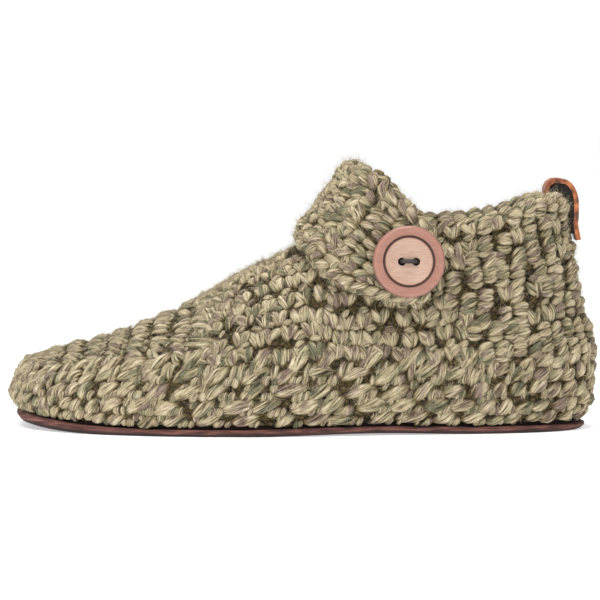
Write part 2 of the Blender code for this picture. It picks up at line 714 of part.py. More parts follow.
def make_loop(material):
    """Leather pull loop: a flat strip folded over the heel's edge and sewn down inside and outside."""
    edge, _ = collar_edge(np.array([math.pi]))
    back_at_edge = slice_ends(edge[0])[1]
    low = edge[0] + LOOP_RISE - LOOP_HEIGHT
    half = LOOP_THICKNESS / 2
    over = []
    for back, up in zip(
        column(LOOP_OVER, LOOP_COLUMNS, "back"), column(LOOP_OVER, LOOP_COLUMNS, "up")
    ):
        over.append((back_at_edge + LOOP_DEPTH * back, low + LOOP_HEIGHT * up))
    tuck = []
    for share in np.linspace(1, 0, TUCK_STEPS):
        z = edge[0] - LOOP_TUCK_TOP - LOOP_TUCK * share
        tuck.append((heel_face(z, -UPPER_WALL)[0] - 2 * CLEARANCE - half, z))
    knots = np.array(tuck + over)
    places = np.concatenate([[0], np.cumsum(np.linalg.norm(np.diff(knots, axis=0), axis=1))])
    fine = np.linspace(0, places[-1], LOOP_STEPS)
    x = smooth(fine, places, knots[:, 0])
    z = smooth(fine, places, knots[:, 1])
    seat = half + 2 * CLEARANCE
    beside = np.minimum(z, edge[0])
    behind = np.array([heel_face(height, COLLAR_ROLL)[1] for height in beside]) + seat
    within = np.array([heel_face(height, -UPPER_WALL)[0] for height in beside]) - seat
    top = np.argmax(z)
    x[:top] = np.where(z[:top] < edge[0], np.minimum(x[:top], within[:top]), x[:top])
    x[top:] = np.where(z[top:] < edge[0], np.maximum(x[top:], behind[top:]), x[top:])
    path = np.column_stack([x, z])
    runs = np.gradient(path, axis=0)
    runs /= np.linalg.norm(runs, axis=1, keepdims=True)
    out = np.column_stack([-runs[:, 1], runs[:, 0]]) * half
    bm = bmesh.new()
    sections = []
    for point, offset in zip(path, out):
        section = []
        for face, side in ((1, -1), (1, 1), (-1, 1), (-1, -1)):
            x, z = point + face * offset
            section.append((x, side * LOOP_WIDTH / 2, z))
        sections.append(section)
    rows = add_rings(bm, sections)
    join_rings(bm, rows)
    bm.faces.new(rows[0])
    bm.faces.new(rows[-1])
    return new_object("heel_loop", bm, material)


def stand_over_origin(pieces):
    """Parents the pieces to one empty, placed so that the middle of the slipper stands over the origin."""
    bpy.context.view_layer.update()
    corners = np.array(
        [piece.matrix_world @ vertex.co for piece in pieces for vertex in piece.data.vertices]
    )
    low = corners.min(axis=0)
    high = corners.max(axis=0)
    slipper = bpy.data.objects.new("slipper", None)
    bpy.context.collection.objects.link(slipper)
    for thing in [thing for thing in bpy.data.objects if thing.type == "MESH"]:
        thing.parent = slipper
    slipper.location = (-(low[0] + high[0]) / 2, -(low[1] + high[1]) / 2, -low[2])


def main():
    for thing in list(bpy.data.objects):
        bpy.data.objects.remove(thing, do_unlink=True)
    yarn, sole_leather, felt, wood, thread, loop_leather = (
        new_material(name, (red, green, blue), roughness)
        for name, red, green, blue, roughness in FINISHES
    )
    outsole = make_plate(
        "outsole", sole_leather, -SOLE_MARGIN, 0.0, SOLE_THICKNESS, SOLE_EDGE_ROUND
    )
    insole = make_plate(
        "insole", felt, UPPER_WALL + CLEARANCE, FLOOR_OF_UPPER, INSOLE_THICKNESS, SOLE_EDGE_ROUND
    )
    pieces = [outsole, insole, make_upper(yarn), make_strap(yarn)]
    pieces += [make_button(wood), make_thread(thread), make_loop(loop_leather)]
    stand_over_origin(pieces)


main()
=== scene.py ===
"""Looks of the crocheted slipper bootie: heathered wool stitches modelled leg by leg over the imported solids,
split-leather sole, felt insole, turned wooden button and leather pull loop, in metres in the row frame."""

import math

import bpy
import numpy as np
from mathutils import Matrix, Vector
from mathutils.bvhtree import BVHTree


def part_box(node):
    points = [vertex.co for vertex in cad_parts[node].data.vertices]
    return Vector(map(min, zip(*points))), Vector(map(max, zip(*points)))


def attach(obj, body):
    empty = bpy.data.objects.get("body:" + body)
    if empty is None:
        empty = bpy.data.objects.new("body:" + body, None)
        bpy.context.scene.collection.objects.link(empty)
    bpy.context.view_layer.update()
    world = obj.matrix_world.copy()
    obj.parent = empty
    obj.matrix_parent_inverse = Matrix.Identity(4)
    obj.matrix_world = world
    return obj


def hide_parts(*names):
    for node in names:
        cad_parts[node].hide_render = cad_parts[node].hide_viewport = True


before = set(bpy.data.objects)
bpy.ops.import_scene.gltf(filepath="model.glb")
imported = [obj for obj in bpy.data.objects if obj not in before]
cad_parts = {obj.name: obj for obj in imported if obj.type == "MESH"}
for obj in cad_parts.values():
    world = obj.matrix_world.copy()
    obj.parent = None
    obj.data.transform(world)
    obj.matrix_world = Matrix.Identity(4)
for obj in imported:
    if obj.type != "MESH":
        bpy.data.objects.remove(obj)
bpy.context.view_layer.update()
MM = 0.001
FAR = 0.2  # metres: outside the slipper, where rays start
RANDOM = np.random.default_rng(41)

TOE_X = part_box("upper")[0].x
HEEL_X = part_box("upper")[1].x


# Reading the solids.


def smoothstep(at, start, end):
    """0 before start, 1 after end, an even S between."""
    share = np.clip((np.asarray(at, dtype=float) - start) / (end - start), 0, 1)
    return share * share * (3 - 2 * share)


def unit(vectors):
    return vectors / np.maximum(np.linalg.norm(vectors, axis=-1, keepdims=True), 1e-12)


class Skin:
    """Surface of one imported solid: nearest points, ray hits and smooth normals."""

    def __init__(self, node):
        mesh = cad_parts[node].data
        points = np.zeros(len(mesh.vertices) * 3, np.float32)
        mesh.vertices.foreach_get("co", points)
        mesh.calc_loop_triangles()
        corners = np.zeros(len(mesh.loop_triangles) * 3, np.int32)
        mesh.loop_triangles.foreach_get("vertices", corners)
        rounded = np.round(points.reshape(-1, 3).astype(float), 6)
        welded, place = np.unique(rounded, axis=0, return_inverse=True)
        faces = place.reshape(-1)[corners.reshape(-1, 3)]
        whole = (faces[:, 0] != faces[:, 1]) & (faces[:, 1] != faces[:, 2]) & (faces[:, 0] != faces[:, 2])
        self.points = welded
        self.faces = faces[whole]
        a, b, c = (self.points[self.faces[:, place]] for place in range(3))
        across = np.cross(b - a, c - a)
        self.normals = np.zeros_like(self.points)
        for place in range(3):
            np.add.at(self.normals, self.faces[:, place], across)
        self.normals = unit(self.normals)
        self.tree = BVHTree.FromPolygons(self.points.tolist(), self.faces.tolist())

    def smooth_normals(self, spots, hit_faces):
        """Vertex normals blended over the faces that were hit."""
        corners = self.faces[hit_faces]
        a, b, c = (self.points[corners[:, place]] for place in range(3))
        whole = np.cross(b - a, c - a)
        area = np.maximum((whole * whole).sum(1), 1e-24)
        share_a = (np.cross(b - spots, c - spots) * whole).sum(1) / area
        share_b = (np.cross(c - spots, a - spots) * whole).sum(1) / area
        shares = np.clip(np.stack([share_a, share_b, 1 - share_a - share_b], 1), 0, 1)
        return unit((self.normals[corners] * shares[:, :, None]).sum(1))

    def near(self, spots):
        """Nearest surface points to the spots, and their normals."""
        spots = np.asarray(spots, dtype=float)
        flat = spots.reshape(-1, 3)
        found = [self.tree.find_nearest(spot) for spot in flat.tolist()]
        places = np.array([tuple(hit[0]) for hit in found])
        normals = self.smooth_normals(places, np.array([hit[2] for hit in found]))
        return places.reshape(spots.shape), normals.reshape(spots.shape)

    def cast(self, start, heading):
        """First hit of one ray, or None."""
        hit = self.tree.ray_cast(Vector(start), Vector(heading))
        return None if hit[0] is None else np.array(hit[0])


upper_skin = Skin("upper")
strap_skin = Skin("instep_strap")
sole_skin = Skin("outsole")


def sole_top(x):
    """Height of the top of the leather sole at x."""
    hit = sole_skin.cast((float(np.clip(x, TOE_X + 0.006, HEEL_X - 0.008)), 0.0, 0.05), (0, 0, -1))
    return 0.003 if hit is None else float(hit[2])


# Sheets: grids of points over the solids that the stitches are charted on.

PROBE = 0.004  # half of the share of a sheet over which its size is measured
SHORTEST = 0.004  # metres: no whole run or rise counts as shorter
ROW_MARKS = 1500  # places along a row where its length is measured
UNEVEN = 0.16  # how far a stitch strays along its row, as a share of the pitch


class Sheet:
    """A grid over a surface. run goes along the rows of stitches and rise across them, both 0 to 1."""

    def __init__(self, points, normals, closed=False):
        self.points = points
        self.normals = normals
        self.closed = closed

    def spot(self, run, rise):
        """Place and normal at run and rise."""
        run = np.asarray(run, dtype=float)
        count, high = self.points.shape[:2]
        if self.closed:
            along = (run % 1.0) * count
            low = np.floor(along).astype(int) % count
            after = (low + 1) % count
            part = along - np.floor(along)
        else:
            along = np.clip(run, 0, 1) * (count - 1)
            low = np.minimum(np.floor(along).astype(int), count - 2)
            after = low + 1
            part = along - low
        up = np.clip(rise, -0.2, 1.2) * (high - 1)
        below = np.clip(np.floor(up).astype(int), 0, high - 2)
        share = up - below
        part = part[..., None]
        share = share[..., None]
        found = []
        for grid in (self.points, self.normals):
            lower = grid[low, below] * (1 - part) + grid[after, below] * part
            upper = grid[low, below + 1] * (1 - part) + grid[after, below + 1] * part
            found.append(lower * (1 - share) + upper * share)
        return found[0], unit(found[1])

    def sizes(self, run, rise):
        """Metres of surface for a whole run and a whole rise, as they are at this place."""
        run = np.asarray(run, dtype=float)
        ahead = self.spot(run + PROBE, rise)[0] - self.spot(run - PROBE, rise)[0]
        over = self.spot(run, np.clip(rise + PROBE, 0, 1))[0] - self.spot(run, np.clip(rise - PROBE, 0, 1))[0]
        return tuple(
            np.maximum(np.linalg.norm(part, axis=-1) / (2 * PROBE), SHORTEST) for part in (ahead, over)
        )

    def level(self, run, rise):
        """How far a level line goes across the rows for each millimetre along them, at this place."""
        ahead = self.spot(run + PROBE, rise)[0] - self.spot(run - PROBE, rise)[0]
        over = self.spot(run, rise + PROBE)[0] - self.spot(run, rise - PROBE)[0]
        return -(ahead[2] / np.linalg.norm(ahead)) / (over[2] / np.linalg.norm(over))

    def row_places(self, rise, pitch, offset=0.0):
        """Runs of stitches along one row. pitch: metres between them, or a function of x that gives it."""
        runs = np.linspace(0, 1, ROW_MARKS)
        places = self.spot(runs, np.full(len(runs), rise))[0]
        steps = np.linalg.norm(np.diff(places, axis=0), axis=1)
        wanted = np.array([pitch(x) for x in places[:-1, 0]]) if callable(pitch) else pitch
        counted = np.concatenate([[0], np.cumsum(steps / wanted)])
        total = counted[-1]
        if self.closed:
            total = round(total)
            counted *= total / counted[-1]
        marks = np.arange(offset, total - 1e-6, 1.0)
        marks = marks + RANDOM.uniform(-UNEVEN, UNEVEN, len(marks))
        return np.interp(marks, counted, runs)


def spread_evenly(path, normals, count):
    """The path's points and normals at equal steps of its length."""
    path = np.asarray(path)
    reach = np.concatenate([[0], np.cumsum(np.linalg.norm(np.diff(path, axis=0), axis=1))])
    marks = np.linspace(0, reach[-1], count)
    points = np.stack([np.interp(marks, reach, path[:, place]) for place in range(3)], 1)
    facing = np.stack([np.interp(marks, reach, np.asarray(normals)[:, place]) for place in range(3)], 1)
    return points, unit(facing)


CLIMB_STEP = 0.0008
CLIMB_STEPS = 240


def climb(skin, start, outward, over_ridge):
    """Walks up the skin from start in the upright plane of outward, to the ridge or to the collar's edge."""
    place, normal = (found[0] for found in skin.near(np.array([start])))
    path = [place]
    facing = [normal]
    sideways = np.cross(outward, (0, 0, 1.0))
    for _ in range(CLIMB_STEPS):
        upward = np.array([0, 0, 1.0]) - normal[2] * normal
        upward -= sideways * (upward @ sideways)
        if np.linalg.norm(upward) < 0.05:
            upward = -outward
        upward = upward / np.linalg.norm(upward)
        guess = place + upward * CLIMB_STEP + normal * CLIMB_STEP
        place, normal = (found[0] for found in skin.near(np.array([guess])))
        place = place - sideways * ((place - start) @ sideways)
        past_top = abs(normal @ outward) < 0.06 if over_ridge else normal @ outward < 0.35
        if past_top or (len(path) > 4 and place[2] < path[-1][2] - 0.0002):
            break
        path.append(place)
        facing.append(normal)
    return path, facing


def base_height(x):
    """Top of the big lower stitches, which is the foot of the vamp's and ankle's stitches."""
    return 0.026 + 0.005 * float(smoothstep(x, TOE_X + 0.01, TOE_X + 0.06))


BAND_COLUMNS = 240
ANKLE_COLUMNS = 200
VAMP_COLUMNS = 60
VAMP_START_X = -0.1165
VAMP_END_X = -0.0440
RIDGE_END_X = 0.012  # where the closed top of the vamp ends and the collar begins
SHEET_ROWS = 40
TOE_ROUND = 0.040  # the toe's outline is read by rays from a point this far behind its tip
HEEL_ROUND = 0.036  # and the heel's from one this far in
HEEL_AXIS = 0.040  # the ankle's rows turn about an upright line this far in from the heel


def spine_and_heading(turn):
    """Where a level ray aims and where it comes from. turn: 0 front, pi heel, 2 pi by the inner side."""
    lean = math.cos(turn)
    reach = TOE_ROUND if lean > 0 else HEEL_ROUND
    x = (TOE_X + HEEL_X) / 2 - ((HEEL_X - TOE_X) / 2 - reach) * np.clip(lean * 1.15, -1, 1)
    if lean > 0:
        x = min(x, HEEL_X - HEEL_ROUND)
    return np.array([x, 0.0, 0.0]), unit(np.array([-lean, -math.sin(turn), 0.0]))


def level_hit(skin, spine, outward, z):
    far = spine + outward * FAR
    return skin.cast((far[0], far[1], z), tuple(-outward))


def chart_band():
    """The lower band of the upper, once round from the toe by the outer side, sole seam to base line."""
    points = np.zeros((BAND_COLUMNS, SHEET_ROWS, 3))
    normals = np.zeros_like(points)
    for place in range(BAND_COLUMNS):
        turn = 2 * math.pi * place / BAND_COLUMNS
        spine, outward = spine_and_heading(turn)
        path = []
        first = level_hit(upper_skin, spine, outward, 0.012)
        low = sole_top(first[0]) + 0.0009
        high = base_height(first[0])
        for z in np.linspace(low, high, SHEET_ROWS):
            hit = level_hit(upper_skin, spine, outward, z)
            if hit is not None:
                path.append(hit)
        path, facing = upper_skin.near(np.array(path))
        points[place], normals[place] = spread_evenly(path, facing, SHEET_ROWS)
    return Sheet(points, normals, closed=True)


def chart_vamp():
    """The front of the vamp. run goes over the foot from the outer base line, rise from the toe backwards."""
    points = np.zeros((VAMP_COLUMNS * 2, SHEET_ROWS, 3))
    normals = np.zeros_like(points)
    for place in range(SHEET_ROWS):
        share = place / (SHEET_ROWS - 1)
        x = VAMP_START_X + (VAMP_END_X - VAMP_START_X) * share
        base = base_height(x) - 0.0005
        lean = 0.10 + 0.05 * share
        pivot = np.array([x, 0.0, base])
        up = np.array([math.sin(lean), 0.0, math.cos(lean)])
        path = []
        for angle in np.radians(np.linspace(-89, 89, 120)):
            heading = up * math.cos(angle) + np.array([0, 1.0, 0]) * math.sin(angle)
            hit = upper_skin.cast(tuple(pivot + heading * FAR), tuple(-heading))
            if hit is not None:
                path.append(hit)
        path, facing = upper_skin.near(np.array(path))
        points[:, place], normals[:, place] = spread_evenly(path, facing, VAMP_COLUMNS * 2)
    return Sheet(points, normals)


def chart_ankle():
    """The sides from the front of the vamp round the heel, base line to the ridge or to the collar's edge."""
    points = np.zeros((ANKLE_COLUMNS, SHEET_ROWS, 3))
    normals = np.zeros_like(points)
    round_x = HEEL_X - HEEL_AXIS
    straight = round_x - VAMP_END_X
    bend = math.pi * HEEL_ROUND
    whole = 2 * straight + bend
    for place in range(ANKLE_COLUMNS):
        along = whole * place / (ANKLE_COLUMNS - 1)
        if along < straight:
            spine = np.array([VAMP_END_X + along, 0.0, 0.0])
            outward = np.array([0.0, -1.0, 0.0])
        elif along > straight + bend:
            spine = np.array([VAMP_END_X + (whole - along), 0.0, 0.0])
            outward = np.array([0.0, 1.0, 0.0])
        else:
            angle = math.pi * (along - straight) / bend
            spine = np.array([round_x, 0.0, 0.0])
            outward = np.array([math.sin(angle), -math.cos(angle), 0.0])
        start = level_hit(upper_skin, spine, outward, base_height(spine[0]))
        path, facing = climb(upper_skin, start, outward, over_ridge=spine[0] < RIDGE_END_X)
        points[place], normals[place] = spread_evenly(path, facing, SHEET_ROWS)
    return Sheet(points, normals)


# Edges of the strap from its root on the inner side to its buttoned end, as in the solid. side: -1 inner,
# 0 on the ridge, 1 outer. The rest are the front edge's shares of the length from the toe and of the strap's
# upper height, then the rear edge's.
STRAP = (
    (-1, 0.724, 0.520, 0.762, 0.600),
    (-1, 0.706, 0.494, 0.764, 0.648),
    (-1, 0.650, 0.500, 0.742, 0.722),
    (-1, 0.600, 0.525, 0.710, 0.800),
    (-1, 0.560, 0.560, 0.680, 0.868),
    (-1, 0.526, 0.612, 0.653, 0.926),
    (-1, 0.508, 0.668, 0.628, 0.970),
    (0, 0.500, 0.706, 0.603, 0.998),
    (1, 0.508, 0.664, 0.628, 0.964),
    (1, 0.528, 0.600, 0.655, 0.915),
    (1, 0.568, 0.546, 0.682, 0.860),
    (1, 0.618, 0.508, 0.708, 0.796),
    (1, 0.664, 0.492, 0.726, 0.716),
    (1, 0.694, 0.500, 0.728, 0.642),
    (1, 0.706, 0.524, 0.722, 0.594),
)
LENGTH = 0.252
STRAP_TOP_HEIGHT = 0.1128
ANKLE_AXIS_X = 0.060
WALL = 0.0050
STRAP_STEPS = 90


def chart_strap():
    """The strap's face. run goes from its sewn root to its buttoned end, rise from its front edge up."""
    edges = []
    for side, *shares in STRAP:
        front_x, rear_x = (TOE_X + LENGTH * shares[place] for place in (0, 2))
        front_z, rear_z = (STRAP_TOP_HEIGHT * shares[place] for place in (1, 3))
        row = []
        for share in (0.10, 0.90):
            x = front_x + (rear_x - front_x) * share
            z = front_z + (rear_z - front_z) * share
            hit = strap_skin.cast((x, -FAR * side, z), (0, side, 0)) if side else None
            row += [0.0 if hit is None else math.atan2(-hit[1], ANKLE_AXIS_X - x), z]
        edges.append(row)
    edges = np.array(edges)
    knots = np.linspace(0, 1, len(STRAP))
    fine = np.linspace(0, 1, STRAP_STEPS)
    turn_low, z_low, turn_high, z_high = (np.interp(fine, knots, edges[:, place]) for place in range(4))
    points = np.zeros((STRAP_STEPS, SHEET_ROWS, 3))
    across = np.linspace(-0.11, 1.11, SHEET_ROWS)
    spine = np.array([ANKLE_AXIS_X, 0.0, 0.0])
    headings = np.zeros_like(points)
    reaches = []
    for place in range(STRAP_STEPS):
        turn = turn_low[place] + (turn_high[place] - turn_low[place]) * across
        z = z_low[place] + (z_high[place] - z_low[place]) * across
        outward = np.stack([-np.cos(turn), -np.sin(turn), np.zeros(SHEET_ROWS)], 1)
        reach = np.full(SHEET_ROWS, np.nan)
        for row in range(SHEET_ROWS):
            hit = level_hit(strap_skin, spine, outward[row], z[row])
            if hit is not None:
                reach[row] = (hit - spine) @ outward[row]
        usual = np.nanmedian(reach) if np.isfinite(reach).any() else 0.0
        good = np.abs(reach - usual) < 0.014
        if good.sum() < 4:
            reaches.append(None)
        else:
            reaches.append(np.interp(np.arange(SHEET_ROWS), np.flatnonzero(good), reach[good]))
        points[place] = spine + np.array([0, 0, 1.0]) * z[:, None]
        headings[place] = outward
    hit_places = [place for place in range(STRAP_STEPS) if reaches[place] is not None]
    for place in range(STRAP_STEPS):
        nearest = min(hit_places, key=lambda other: abs(other - place))
        points[place] += headings[place] * reaches[nearest][:, None]
    facing = unit(np.cross(np.gradient(points, axis=0), np.gradient(points, axis=1)))
    outward = (points - (ANKLE_AXIS_X, 0, 0)) * (1, 1, 0)
    facing *= np.sign((facing * outward).sum(-1))[..., None]
    for _ in range(3):
        padded = np.pad(facing, ((1, 1), (1, 1), (0, 0)), mode="edge")
        facing = unit(padded[:-2, 1:-1] + padded[2:, 1:-1] + padded[1:-1, :-2] + padded[1:-1, 2:] + facing)
    level = unit(outward)
    return Sheet(points, unit(facing + 0.35 * level))


RIDGE_COLUMNS = 50
RIDGE_ROWS = 16
RIDGE_HALF_WIDTH = 0.0085


def chart_ridge():
    """The top of the vamp along its ridge. run goes backwards, rise from the inner to the outer side."""
    points = np.zeros((RIDGE_COLUMNS, RIDGE_ROWS, 3))
    for place, x in enumerate(np.linspace(VAMP_END_X - 0.004, 0.0065, RIDGE_COLUMNS)):
        for row, y in enumerate(np.linspace(RIDGE_HALF_WIDTH, -RIDGE_HALF_WIDTH, RIDGE_ROWS)):
            points[place, row] = upper_skin.cast((x, y, FAR), (0, 0, -1))
    return Sheet(*upper_skin.near(points))


RIM_REACH = 0.0050


def chart_rim():
    """Over the collar's edge: rise goes from RIM_REACH below it outside, over it, to as far below inside."""
    top = ankle.points[:, -1]
    outward = unit(ankle.normals[:, -2] * (1, 1, 0.2))
    rows = []
    facing = []
    for below in np.linspace(-RIM_REACH, 0, 9):
        rows.append(top + (0, 0, below))
        facing.append(outward)
    for angle in np.radians(np.linspace(12, 168, 13)):
        lean = outward * math.cos(angle) + np.array([0, 0, 1.0]) * math.sin(angle)
        rows.append(top - outward * (WALL / 2) + lean * (WALL / 2))
        facing.append(unit(lean))
    for below in np.linspace(0, -RIM_REACH, 9):
        rows.append(top - outward * WALL + (0, 0, below))
        facing.append(-outward)
    return Sheet(np.stack(rows, 1), np.stack(facing, 1))


def inside_of(sheet, wall):
    """The other face of the same cloth, a wall's thickness in."""
    return Sheet(sheet.points - sheet.normals * wall, -sheet.normals, sheet.closed)


band = chart_band()
vamp = chart_vamp()
ankle = chart_ankle()
strap = chart_strap()
ridge = chart_ridge()
rim = chart_rim()


# Stitches.

RINGS_A_LEG = 8
SIDES_A_LEG = 9


def tube(rings, sides):
    """The quads between rings of points, each ring a closed loop of that many sides."""
    ring = np.arange(sides)
    after = (ring + 1) % sides
    rows = np.arange(rings - 1)[:, None] * sides
    return np.stack([rows + ring, rows + after, rows + sides + after, rows + sides + ring], -1).reshape(-1, 4)


def add_piece(name, points, faces, material, values=None, smooth=True, replaces=()):
    """One joined mesh that rides on the part. values: numbers or vectors at its points, by name."""
    mesh = bpy.data.meshes.new(name)
    mesh.from_pydata(points.reshape(-1, 3).tolist(), [], faces.tolist())
    if smooth:
        mesh.shade_smooth()
    for key, numbers in (values or {}).items():
        vectors = numbers.size == 3 * len(mesh.vertices)
        layer = mesh.attributes.new(key, "FLOAT_VECTOR" if vectors else "FLOAT", "POINT")
        layer.data.foreach_set("vector" if vectors else "value", numbers.astype(np.float32).ravel())
    mesh.materials.append(material)
    piece = bpy.data.objects.new(name, mesh)
    bpy.context.scene.collection.objects.link(piece)
    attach(piece, "root")
    if replaces:
        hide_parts(*replaces)


class Yarn:
    """Collects legs of yarn and makes one joined mesh of them. Sizes are in millimetres."""

    def __init__(self, name, rings=RINGS_A_LEG, sides=SIDES_A_LEG):
        self.name = name
        self.rings = rings
        self.sides = sides
        self.centres = []
        self.normals = []
        self.widths = []
        self.thick = []
        self.tones = []
        self.shades = []

    def leg(self, sheet, run, rise, start, end, turn, width, bow=0.0, **lie):
        """One visible leg of yarn. start, end: millimetres along and across from the stitch's middle. turn:
        degrees that both are turned about the leg's middle. bow: how far its middle swings sideways."""
        if turn:
            start, end = turned(start, end, turn)
        along, across = sheet.sizes(run, rise)
        share = np.linspace(0, 1, self.rings)
        start = np.array(start, dtype=float)
        end = np.array(end, dtype=float)
        line = start + (end - start) * share[:, None]
        aside = np.array([-(end - start)[1], (end - start)[0]])
        aside /= max(np.linalg.norm(aside), 1e-6)
        line = line + aside * (bow * np.sin(math.pi * share))[:, None]
        places, facing = sheet.spot(run + line[:, 0] * MM / along, rise + line[:, 1] * MM / across)
        self.lay(places, facing, width, **lie)

    def lay(self, places, facing, width, thick=None, lift=0.5, sink=1.7, shade=(0.0, 1.0)):
        """A leg along these places. lift: how proud its middle's spine is, sink: how deep its ends go. shade:
        the darkest and lightest levels of painted shade on it, from its underside to its crown, standing in
        for how open these are to the light."""
        share = np.linspace(0, 1, self.rings)
        crown = np.sin(math.pi * share) ** 0.75
        thick = width * 0.8 if thick is None else thick
        off = -sink + (lift + sink) * crown - thick * 0.5
        self.centres.append(places + facing * (off * MM)[:, None])
        self.normals.append(facing)
        self.widths.append(width)
        self.thick.append(thick)
        self.tones.append(RANDOM.random())
        self.shades.append(shade)

    def build(self, material):
        """The joined mesh of the legs: plump three-ply lengths that taper where they dip under the next, with
        painted shade in their crown values.
        """
        centres = np.array(self.centres)
        facing = np.array(self.normals)
        count = len(centres)
        share = np.linspace(0, 1, self.rings)
        plump = 0.16 + 0.84 * np.sin(math.pi * share) ** 0.62
        swell = 1 + 0.07 * np.sin(2 * math.pi * (share[None, :] * 1.4 + RANDOM.random((count, 1))))
        runs = unit(np.gradient(centres, axis=1))
        sideways = unit(np.cross(facing, runs))
        upright = np.cross(runs, sideways)
        angle = 2 * math.pi * np.arange(self.sides) / self.sides
        twist = 1.3 * share
        widths = np.array(self.widths)[:, None, None] * MM / 2
        thick = np.array(self.thick)[:, None, None] * MM / 2
        ply = 1 + 0.07 * np.cos(3 * (angle[None, :] + twist[:, None]))
        section = plump[None, :, None] * swell[:, :, None] * ply[None]
        out_side = widths * section * np.cos(angle)[None, None, :]
        out_up = thick * section * np.sin(angle)[None, None, :]
        points = (
            centres[:, :, None, :]
            + sideways[:, :, None, :] * out_side[..., None]
            + upright[:, :, None, :] * out_up[..., None]
        )
        quads = tube(self.rings, self.sides)
        faces = (np.arange(count)[:, None, None] * self.rings * self.sides + quads[None]).reshape(-1, 4)
        lengths = np.linalg.norm(np.diff(centres, axis=1), axis=2)
        reach = np.concatenate([np.zeros((count, 1)), np.cumsum(lengths, axis=1)], axis=1) / MM
        wound = angle[None, None, :] + twist[None, :, None] + np.zeros((count, 1, 1))
        strand = np.stack([np.cos(wound), np.sin(wound), np.broadcast_to(reach[:, :, None], wound.shape)], -1)
        tones = np.broadcast_to(np.array(self.tones)[:, None, None], wound.shape)
        # painted shade: each leg's underside and its thin ends are darkened and its top kept light, between
        # the leg's own shade levels
        crown = np.clip((np.sin(angle) * 0.5 + 0.5)[None, None, :] * plump[None, :, None] ** 1.2, 0, 1)
        low, high = np.array(self.shades).T[:, :, None, None]
        crown = low + (high - low) * crown
        values = {"strand": strand, "tone": tones, "crown": crown}
        add_piece(self.name, points, faces, material, values)


def about(value, spread):
    """The value, varied by hand-made unevenness of that share."""
    return value * (1 + spread * (2 * RANDOM.random() - 1))


def turned(start, end, degrees):
    """A leg's two ends turned about its middle."""
    middle = (np.array(start) + np.array(end)) / 2
    angle = math.radians(degrees)
    spin = np.array([[math.cos(angle), -math.sin(angle)], [math.sin(angle), math.cos(angle)]])
    return middle + spin @ (np.array(start) - middle), middle + spin @ (np.array(end) - middle)


def slack():
    """A stitch's own small shift in millimetres."""
    return RANDOM.normal(0, 0.35, 2)


def band_pitch(x):
    """Distance between the lower stitches: small at the toe, long on the sides, short again at the heel."""
    grown = smoothstep(x, TOE_X + 0.020, TOE_X + 0.075)
    shrunk = smoothstep(x, HEEL_X - 0.085, HEEL_X - 0.035)
    return float(0.0056 + 0.0088 * grown - 0.0062 * shrunk)


BAND_ROWS = (0.08, 0.32, 0.56, 0.80, 1.00)


def crochet_band():
    """Big slanting stitches over the sole, with fans of short legs between them."""
    yarn = Yarn("lower_stitches")
    for row, rise in enumerate(BAND_ROWS):
        for run in band.row_places(rise, band_pitch, offset=0.5 * (row % 2)):
            x = float(band.spot(np.array([run]), np.array([rise]))[0][0, 0])
            pitch = band_pitch(x) / MM
            big = (pitch - 5.6) / 8.8
            high = about(7.2, 0.12)
            heel = float(smoothstep(x, HEEL_X - 0.085, HEEL_X - 0.040))
            width = about(4.6 + 1.5 * big + 1.2 * heel, 0.15)
            slant = 1 - 0.35 * heel
            shift = 1.5 * slack()
            reach = about(0.54, 0.16) * pitch
            yarn.leg(
                band, run, rise, (-reach, -0.50 * high * slant) + shift, (reach, 0.52 * high * slant) + shift,
                RANDOM.normal(0, 10), width, bow=about(0.6, 1.8), lift=about(0.9, 0.4), sink=1.8,
            )
            for foot, head in ((0.08, 0.30), (0.26, 0.46), (0.44, 0.60)) if big > 0.4 else ((0.25, 0.45),):
                if RANDOM.random() < 0.16:
                    continue
                yarn.leg(
                    band, run, rise, (foot * pitch + 1.6 * slack()[0], -0.66 * high),
                    (head * pitch + 1.6 * slack()[1], 0.10 * high), 0,
                    about(3.2, 0.25), bow=about(0.5, 1.6), lift=about(0.05, 4.0), sink=1.9,
                )
            for foot, head in ((-0.46, -0.28), (-0.28, -0.04)) if big > 0.4 else ():
                if RANDOM.random() < 0.22:
                    continue
                yarn.leg(
                    band, run, rise, (foot * pitch + 1.6 * slack()[0], -0.02 * high),
                    (head * pitch + 1.6 * slack()[1], 0.64 * high), 0,
                    about(3.2, 0.25), bow=about(-0.5, 1.6), lift=RANDOM.normal(0, 0.15), sink=1.9,
                )
    return yarn


VAMP_ROUNDS = 8
VAMP_PITCH = 0.0050


def crochet_vamp():
    """Rounds of slanting legs over the front of the foot."""
    yarn = Yarn("vamp_stitches")
    wide = (VAMP_END_X - VAMP_START_X) / VAMP_ROUNDS / MM
    for place in range(VAMP_ROUNDS + 1):
        rise = place / VAMP_ROUNDS
        for run in vamp.row_places(rise, VAMP_PITCH, offset=0.35 * (place % 3)):
            shift = slack() * 1.3
            yarn.leg(
                vamp, run, rise,
                (about(2.9, 0.3), -0.50 * wide) + shift, (-about(2.9, 0.3), 0.54 * wide) + shift,
                RANDOM.normal(0, 15), about(4.0, 0.2), bow=about(0.5, 1.8), lift=about(0.5, 0.6),
            )
            start, end = (about(3.8, 0.2), -0.34 * wide) + shift, (about(0.2, 0.2), 0.60 * wide) + shift
            turn = RANDOM.normal(0, 20)
            if RANDOM.random() < 0.8:
                yarn.leg(vamp, run, rise, start, end, turn, about(2.9, 0.25), lift=about(0.3, 1.0))
            start, end = (-1.8, 0.40 * wide), (1.8, 0.62 * wide)
            turn = RANDOM.normal(0, 25)
            if RANDOM.random() < 0.6:
                yarn.leg(vamp, run, rise, start, end, turn, about(2.6, 0.25), lift=about(-0.4, 1.0))
    return yarn


